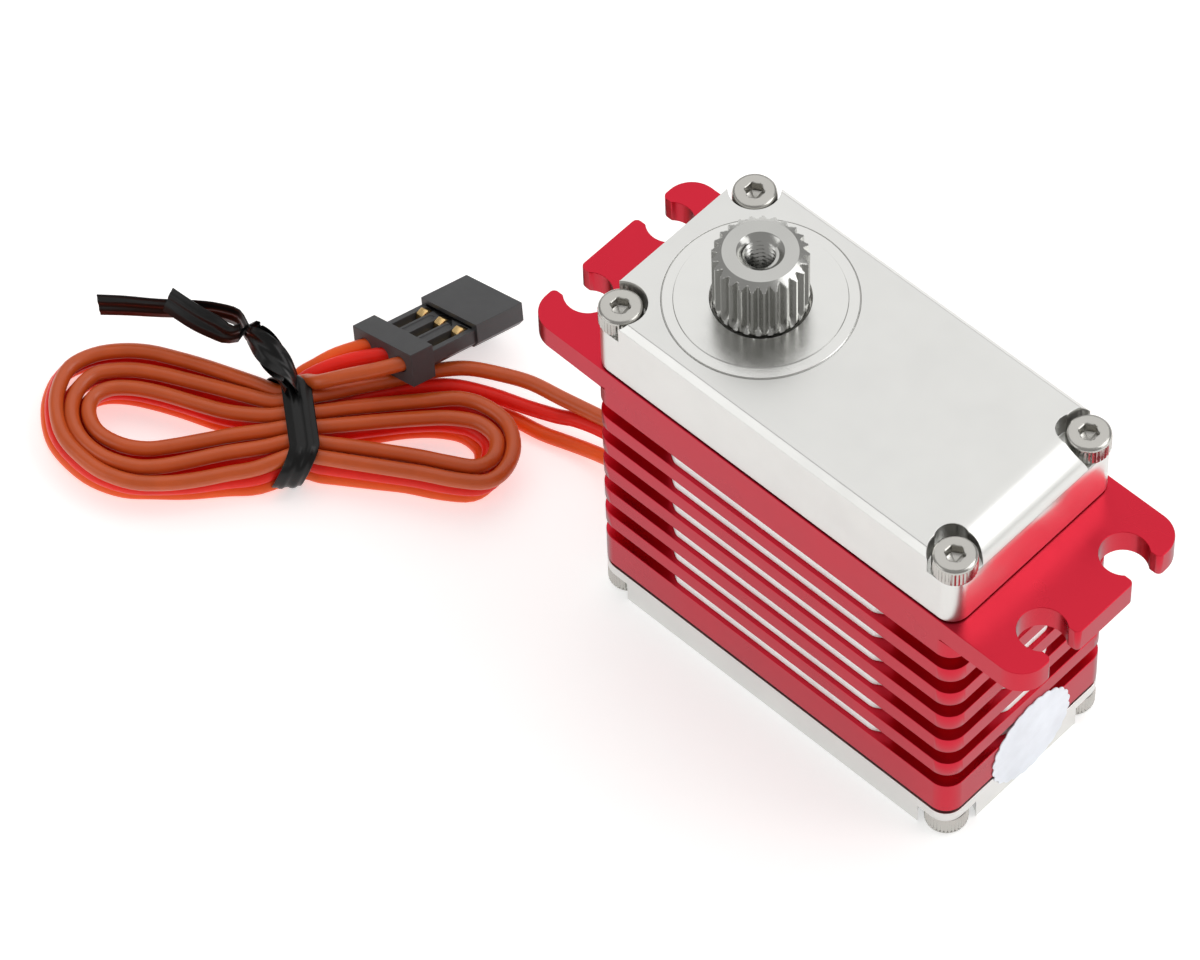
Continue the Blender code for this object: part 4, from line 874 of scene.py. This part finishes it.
def make_tie():
    section = [(u * MM, v * MM) for u, v in TIE_SECTION]
    stations = []
    outline = rounded_rectangle(TIE_HALF_SPAN, TIE_HALF_HEIGHT, TIE_CORNER, 8)
    for i, (u, z) in enumerate(outline):
        before, after = Vector(outline[i - 1]), Vector(outline[(i + 1) % len(outline)])
        run = (after - before).normalized()
        shift = TIE_SKEW * z / TIE_HALF_HEIGHT - TIE_SAG * (u / TIE_HALF_SPAN - TIE_SAG_MIDDLE) ** 2
        centre = TIE_CENTRE + u * TIE_ACROSS + z * UP + shift * TIE_ALONG
        stations.append((centre, TIE_ALONG, (run.y * TIE_ACROSS - run.x * UP).normalized()))
    band = sweep("tie_band", stations, section, closed=True)
    pieces = [dress(band, "black_plastic", replaced=["twist_tie"], material="tie_black")]
    for name, phase, end in (("tie_long_end", 0.0, LONG_END), ("tie_short_end", math.pi, SHORT_END)):
        pieces.append(dress(twisted_end(name, phase, end, section), "black_plastic", material="tie_black"))
    return pieces


def twisted_end(name, phase, end, section):
    """One of the tie's two ends: wound round the other, and then free."""
    controls = []
    axis = smooth(TWIST_AXIS, 4)
    for i, (point, run) in enumerate(zip(axis, directions(axis))):
        side = run.cross(UP).normalized()
        angle = phase + 2 * math.pi * TWIST_TURNS * i / (len(axis) - 1)
        radial = math.cos(angle) * side + math.sin(angle) * side.cross(run)
        controls.append((point + TWIST_R * radial, run.cross(radial)))
    controls += [(Vector(point), Vector(across)) for point, across in end]
    points = smooth([point for point, _ in controls], 3)
    widths = smooth([across.normalized() for _, across in controls], 3)
    stations = []
    for point, width, run in zip(points, widths, directions(points)):
        across = (width - width.dot(run) * run).normalized()
        stations.append((point * MM, across, across.cross(run)))
    narrow = [(END_WIDTH * u, END_THICKNESS * v) for u, v in section]
    return sweep(name, stations, narrow)


# ---------------------------------------------------------------- case

def bay(name, sizes, low, high):
    half_x, half_y, corner = sizes
    return prism(name, rounded_rectangle(half_x, half_y, corner), low, high)


def bores(name, places, radius, low, high, count):
    return prisms(name, [circle(radius, count, place) for place in places], low, high)


def bore(name, x, radius, low, high, count):
    return bores(name, [(x, 0.0)], radius, low, high, count)


def keyholes():
    """The lugs' four slots: a round hole, a narrower way out to the end, and rounded lips."""
    half, flare = LUG_SLOT_HALF, LUG_SLOT_FLARE
    angle = math.degrees(math.asin(half / LUG_HOLE_R))
    mouth = LUG_HALF_X - LUG_HOLE[0]
    outline = arc((0.0, 0.0), LUG_HOLE_R, angle, 360 - angle, 40)
    outline += arc((mouth - flare, -half - flare), flare, 90, 0, 6)
    outline += [(mouth + PAST, -half - flare), (mouth + PAST, half + flare)]
    outline += arc((mouth - flare, half + flare), flare, 0, -90, 6)
    placed = []
    for sign_x, sign_y in ((-1, -1), (-1, 1), (1, -1), (1, 1)):
        placed.append([(sign_x * (LUG_HOLE[0] + x), sign_y * LUG_HOLE[1] + y) for x, y in outline])
    return prisms("keyholes", placed, LUG_BOTTOM - PAST, MIDDLE_TOP + PAST)


def groove_floor():
    """Plan of the grooves' floor: shallow in the middle of each side, deep near the corners."""
    side, side_deep = CASE_HALF_Y - GROOVE_SHALLOW, CASE_HALF_Y - GROOVE_DEEP
    end, end_deep = CASE_HALF_X - GROOVE_SHALLOW, CASE_HALF_X - GROOVE_DEEP
    steps = 8

    def eased(i):
        return 0.5 - 0.5 * math.cos(math.pi * i / steps)

    quarter = []
    for i in range(steps + 1):
        y = GROOVE_END_FLAT + (GROOVE_END_RAMP - GROOVE_END_FLAT) * i / steps
        quarter.append((end + (end_deep - end) * eased(i), y))
    corner = (end_deep - GROOVE_INNER_CORNER, side_deep - GROOVE_INNER_CORNER)
    quarter += arc(corner, GROOVE_INNER_CORNER, 0, 90, 8)
    for i in range(steps + 1):
        x = GROOVE_SIDE_RAMP + (GROOVE_SIDE_FLAT - GROOVE_SIDE_RAMP) * i / steps
        quarter.append((x, side_deep + (side - side_deep) * eased(i)))
    upper = quarter + [(-x, y) for x, y in reversed(quarter)]
    return upper + [(x, -y) for x, y in reversed(upper)]


def grooves():
    bm = bmesh.new()
    outer = box_outline(-CASE_HALF_X - PAST, CASE_HALF_X + PAST, -CASE_HALF_Y - PAST, CASE_HALF_Y + PAST)
    for top in GROOVE_TOPS:
        add_prism(bm, outer, top - GROOVE_HEIGHT, top, hole=groove_floor())
    return mesh_object("grooves", bm)


def make_middle_case():
    case = prism("case_middle", rounded_rectangle(CASE_HALF_X, CASE_HALF_Y, CASE_CORNER),
                 MIDDLE_BOTTOM, MIDDLE_TOP - OVERLAP)
    lugs = prism("lugs", rounded_rectangle(LUG_HALF_X, CASE_HALF_Y, LUG_CORNER, 14), LUG_BOTTOM, MIDDLE_TOP)
    above, below = GEAR_FLOOR + OVERLAP, BAY_TOP - OVERLAP
    half_x, half_y, corner = ELECTRONICS_BAY
    electronics = rounded_rectangle(half_x, half_y, corner, 8, (ELECTRONICS_BAY_X, 0.0))
    cutters = [
        keyholes(),
        grooves(),
        bay("gear_bay", GEAR_BAY, GEAR_FLOOR, MIDDLE_TOP + PAST),
        prism("electronics_bay", electronics, MIDDLE_BOTTOM - PAST, BAY_TOP),
        bore("motor_bay", MOTOR_X, MOTOR_BAY_R, MIDDLE_BOTTOM - PAST, BAY_TOP, 64),
        bay("board_bay", BOARD_BAY, MIDDLE_BOTTOM - PAST - OVERLAP, BOARD_BAY_TOP),
        bore("stem_bearing_seat", OUTPUT_X, STEM_SEAT_R, STEM_SEAT_BOTTOM, above, 40),
        bore("stem_hole", OUTPUT_X, STEM_HOLE_R, below, STEM_SEAT_BOTTOM + OVERLAP, 32),
        bore("motor_hole", MOTOR_X, MOTOR_HOLE_R, below, above, 32),
        bore("axle_hole", GEAR_AXLE_X, AXLE_HOLE_R, AXLE_HOLE_BOTTOM, above, 24),
        bores("motor_screw_sinks", MOTOR_SCREW_PLACES, MOTOR_SCREW_SINK_R,
              MOTOR_SCREW_SINK_FLOOR, above, 32),
        bores("motor_screw_holes", MOTOR_SCREW_PLACES, MOTOR_SCREW_HOLE_R, below,
              MOTOR_SCREW_SINK_FLOOR + OVERLAP, 24),
        bores("upper_threads", SCREW_PLACES, SCREW_HOLE_R, UPPER_THREAD_BOTTOM, MIDDLE_TOP + PAST, 24),
        bores("lower_threads", SCREW_PLACES, SCREW_HOLE_R, MIDDLE_BOTTOM - PAST, LOWER_THREAD_TOP, 24),
        prism("grommet_notch", box_outline(*GROMMET_NOTCH), MIDDLE_BOTTOM - PAST, GROMMET_NOTCH_TOP),
    ]
    settle(case, cutters, (lugs,))
    dress(case, "red_anodised", replaced=["middle_case"])
    case.data.materials.append(MATERIALS["groove_silver"])
    shallowest, deepest = GROOVE_SHALLOW / 2, GROOVE_DEEP - EDGE
    for face in case.data.polygons:
        x, y, z = (abs(value) for value in face.center)
        on_side = shallowest < CASE_HALF_Y - y < deepest and x < GROOVE_SIDE_RAMP
        on_end = shallowest < CASE_HALF_X - x < deepest and y < GROOVE_END_RAMP
        if (on_side or on_end) and abs(face.normal.z) < 0.1 and z < LUG_BOTTOM:
            face.material_index = 1


def make_lower_cover():
    outline = rounded_rectangle(CASE_HALF_X, CASE_HALF_Y, CASE_CORNER)
    cover = prism("case_bottom", outline, 0.0, LOWER_COVER_TOP)
    above = LOWER_COVER_TOP + PAST
    cutters = [
        bay("lower_bay", BOARD_BAY, LOWER_COVER_FLOOR, above),
        bores("lower_pockets", SCREW_PLACES, LOWER_POCKET_R, -PAST, LOWER_POCKET_TOP, 40),
        bores("lower_holes", SCREW_PLACES, SCREW_HOLE_R, LOWER_POCKET_TOP - OVERLAP, above, 24),
        prism("lower_notch", box_outline(*GROMMET_NOTCH), GROMMET_NOTCH_BOTTOM, above),
    ]
    settle(cover, cutters)
    dress(cover, "machined_aluminium", replaced=["lower_cover"])


def make_upper_cover():
    outline = rounded_rectangle(COVER_HALF_X, COVER_HALF_Y, COVER_CORNER)
    cover = prism("case_top", outline, COVER_BOTTOM, COVER_TOP)
    above, below = COVER_TOP + PAST, COVER_BOTTOM - PAST
    wedges = []
    for sign in (-1, 1):
        wedges.append([
            (sign * (COVER_HALF_Y - EDGE_CHAMFER - PAST), above),
            (sign * (COVER_HALF_Y + PAST), COVER_TOP - EDGE_CHAMFER - PAST),
            (sign * (COVER_HALF_Y + PAST), above),
        ])
    x, z = COVER_HALF_X - END_ROUND, COVER_TOP - END_ROUND
    outside = arc((x, z), END_ROUND, 0, 90, 24)
    outside += [(x, above), (COVER_HALF_X + PAST, above), (COVER_HALF_X + PAST, z)]
    cutters = [
        prisms("edge_chamfers", wedges, -CASE_HALF_X - PAST, CASE_HALF_X + PAST, along="X"),
        prism("end_round", outside, -CASE_HALF_Y - PAST, CASE_HALF_Y + PAST, along="Y"),
        boss_line(),
        bay("cover_bay", GEAR_BAY, below, GEAR_CEILING),
        bore("bearing_seat", OUTPUT_X, COVER_SEAT_R, GEAR_CEILING - OVERLAP, COVER_SEAT_TOP, 48),
        bore("shaft_hole", OUTPUT_X, SHAFT_HOLE_R, COVER_SEAT_TOP - OVERLAP, above, 96),
        bore("axle_socket", GEAR_AXLE_X, AXLE_HOLE_R, GEAR_CEILING - OVERLAP, AXLE_HOLE_TOP, 24),
        bores("upper_pockets", SCREW_PLACES, UPPER_POCKET_R, UPPER_POCKET_FLOOR, above, 64),
        bores("pocket_reliefs", POCKET_RELIEF_PLACES, POCKET_RELIEF_R, UPPER_POCKET_FLOOR, above, 32),
        bores("upper_holes", SCREW_PLACES, SCREW_HOLE_R, below, UPPER_POCKET_FLOOR + OVERLAP, 24),
    ]
    settle(cover, cutters)
    dress(cover, "machined_aluminium", replaced=["upper_cover"])


def boss_line():
    """Cutter for the fine line round the foot of the shaft's ring."""
    bm = bmesh.new()
    outer = circle(BOSS_FOOT_R + BOSS_LINE_WIDTH, 128, (OUTPUT_X, 0.0))
    inner = circle(BOSS_FOOT_R - BOSS_LINE_LAP, 128, (OUTPUT_X, 0.0))
    add_prism(bm, outer, COVER_TOP - BOSS_LINE_DEPTH, COVER_TOP + PAST, hole=inner)
    return mesh_object("boss_line", bm)


def make_boss():
    sunk, top = COVER_TOP - BOSS_SUNK, COVER_TOP + BOSS_PROFILE[-1][1]
    rings = [(SHAFT_HOLE_R, sunk), (BOSS_FOOT_R, sunk)]
    rings += [(radius, COVER_TOP + height) for radius, height in BOSS_PROFILE]
    rings += [(SHAFT_HOLE_R + EDGE, top), (SHAFT_HOLE_R, top - EDGE), (SHAFT_HOLE_R, sunk)]
    boss = turned("shaft_boss", rings, 128, (OUTPUT_X, 0.0), sharp=12)
    dress(boss, "machined_aluminium", material="turned_aluminium")


def make_screws():
    kinds = (
        ("upper_screw_", UPPER_HEAD_TOP, 1, UPPER_SHANK_LENGTH),
        ("lower_screw_", LOWER_HEAD_BOTTOM, -1, LOWER_SHANK_LENGTH),
    )
    for i, centre in enumerate(SCREW_PLACES, start=1):
        for name, face, up, shank in kinds:
            screw = socket_screw(f"socket_{name}{i}", centre, face, up, shank)
            dress(screw, "stainless_steel", replaced=[f"{name}{i}"])


def socket_screw(name, centre, face, up, shank):
    """Socket-head screw with its head's face at a height, a knurled side and a hexagon socket."""
    def hexagon(angle):
        return HEX_APOTHEM / math.cos((angle + math.pi / 6) % (math.pi / 3) - math.pi / 6)

    def knurl(angle):
        return SCREW_HEAD_R - KNURL_DEPTH * (0.5 - 0.5 * math.cos(KNURLS * angle))

    tip = SCREW_HEAD_HEIGHT + shank
    profile = [(0, HEX_DEPTH + HEX_POINT), (hexagon, HEX_DEPTH), (hexagon, HEX_RIM), (HEX_MOUTH_R, 0.0)]
    profile += [*SCREW_HEAD_EDGE, (knurl, KNURL_TOP), (knurl, KNURL_BOTTOM)]
    profile += [(SCREW_HEAD_FOOT_R, SCREW_HEAD_HEIGHT), (SCREW_SHANK_R, SCREW_HEAD_HEIGHT)]
    profile += [(SCREW_SHANK_R, tip - SCREW_TIP_CHAMFER), (SCREW_SHANK_R - SCREW_TIP_CHAMFER, tip), (0, tip)]
    return turned(name, [(radius, face - up * depth) for radius, depth in profile], 4 * KNURLS, centre)


def make_grommet():
    outline = rounded_rectangle(GROMMET_HALF_WIDTH, GROMMET_HALF_HEIGHT, GROMMET_CORNER, 8,
                                (0.0, GROMMET_MIDDLE))
    grommet = prism("lead_grommet", outline, *GROMMET_X, along="X")
    places = [(i * WIRE_PITCH, EXIT_HEIGHT) for i in (-1, 0, 1)]
    collars = []
    for i, place in enumerate(places):
        collars.append(prism(f"collar_{i}", circle(WIRE_R + COLLAR_WALL, 32, place), *COLLAR_X, along="X"))
    rounds = [circle(WIRE_R + COLLAR_GAP, 32, place) for place in places]
    holes = prisms("grommet_holes", rounds, *COLLAR_HOLE_X, along="X")
    settle(grommet, (holes,), collars, edge=0.00012, segments=3)
    dress(grommet, "black_rubber", replaced=["cable_grommet"])


def make_label():
    """Round paper seal with a scalloped edge, over the groove and the seam of the end."""
    count = 10 * SEAL_SCALLOPS
    y, z = SEAL_CENTRE
    outline = []
    for i in range(count):
        angle = 2 * math.pi * i / count
        radius = SEAL_DIP_R + SEAL_SCALLOP_HEIGHT * abs(math.sin(SEAL_SCALLOPS * angle / 2))
        outline.append((y + radius * math.cos(angle), z + radius * math.sin(angle)))
    inside = CASE_HALF_X + SEAL_GAP
    label = prism("paper_seal", outline, inside, inside + SEAL_THICKNESS, along="X")
    dress(label, "label_white", replaced=["end_label"])


# ---------------------------------------------------------------- output shaft

def make_shaft():
    """Stem, gear seat, journal and 25-tooth spline, with a countersunk and threaded bore on top."""
    chamfer_bottom = SHAFT_TOP - SPLINE_CHAMFER
    runout_bottom, runout_top = SPLINE_RUNOUT[0], SPLINE_RUNOUT[-1]
    crest_half, flank_width = 1 / 12, 4 / 12

    def spline(height):
        share = min(1.0, max(0.0, (height - runout_bottom) / (runout_top - runout_bottom)))
        cut = (SPLINE_TIP_R - SPLINE_ROOT_R) * math.sin(share * math.pi / 2)
        chamfered = max(0.0, height - chamfer_bottom) / SPLINE_CHAMFER
        cap = SPLINE_TIP_R - (SPLINE_TIP_R - SHAFT_FACE_R) * chamfered

        def radius(angle):
            across = abs((angle * SPLINE_TEETH / (2 * math.pi) + 0.5) % 1.0 - 0.5)
            flank = min(1.0, max(0.0, (across - crest_half) / flank_width))
            return min(SPLINE_TIP_R - cut * flank, cap)
        return radius

    def thread(height):
        def radius(angle):
            turn = (height / THREAD_PITCH - angle / (2 * math.pi)) % 1.0
            rise = min(1.0, THREAD_SLOPE * abs(turn - 0.5))
            return THREAD_MINOR_R + (THREAD_MAJOR_R - THREAD_MINOR_R) * rise
        return radius

    steps = 10
    thread_top = SHAFT_TOP - THREAD_START
    count = int((thread_top - THREAD_BOTTOM) / THREAD_PITCH * THREAD_STEPS)
    spline_levels = [*SPLINE_RUNOUT, *(chamfer_bottom + SPLINE_CHAMFER * i / steps for i in range(steps))]
    thread_levels = [thread_top - THREAD_PITCH * (i + 1) / THREAD_STEPS for i in range(count)]
    rings = [*STEM_PROFILE, *((spline(z), z) for z in spline_levels)]
    rings += [(SHAFT_FACE_R, SHAFT_TOP), (BORE_MOUTH_R, SHAFT_TOP)]
    rings.append((BORE_CHAMFER_R, SHAFT_TOP - BORE_CHAMFER_DEPTH))
    rings += [(THREAD_MOUTH_R, thread_top), *((thread(z), z) for z in thread_levels)]
    rings += [(THREAD_MINOR_R, THREAD_END), (THREAD_MINOR_R, BORE_BOTTOM), (0, BORE_POINT)]
    shaft = turned("splined_shaft", rings, 300, (OUTPUT_X, 0.0))
    dress(shaft, "gear_steel", "output", replaced=["output_shaft"])


def dress_inner_nodes():
    """The pieces inside the case and the seals keep their solids and get their materials."""
    slots = {part["node"]: part["material_slot"] for part in frame["record"]["subparts"]}
    for name, obj in frame["nodes"].items():
        obj.data.materials.clear()
        obj.data.materials.append(MATERIALS[slots[name]])


make_camera()
make_stage()
make_lead()
make_middle_case()
make_lower_cover()
make_upper_cover()
make_boss()
make_screws()
make_grommet()
make_label()
make_shaft()
dress_inner_nodes()
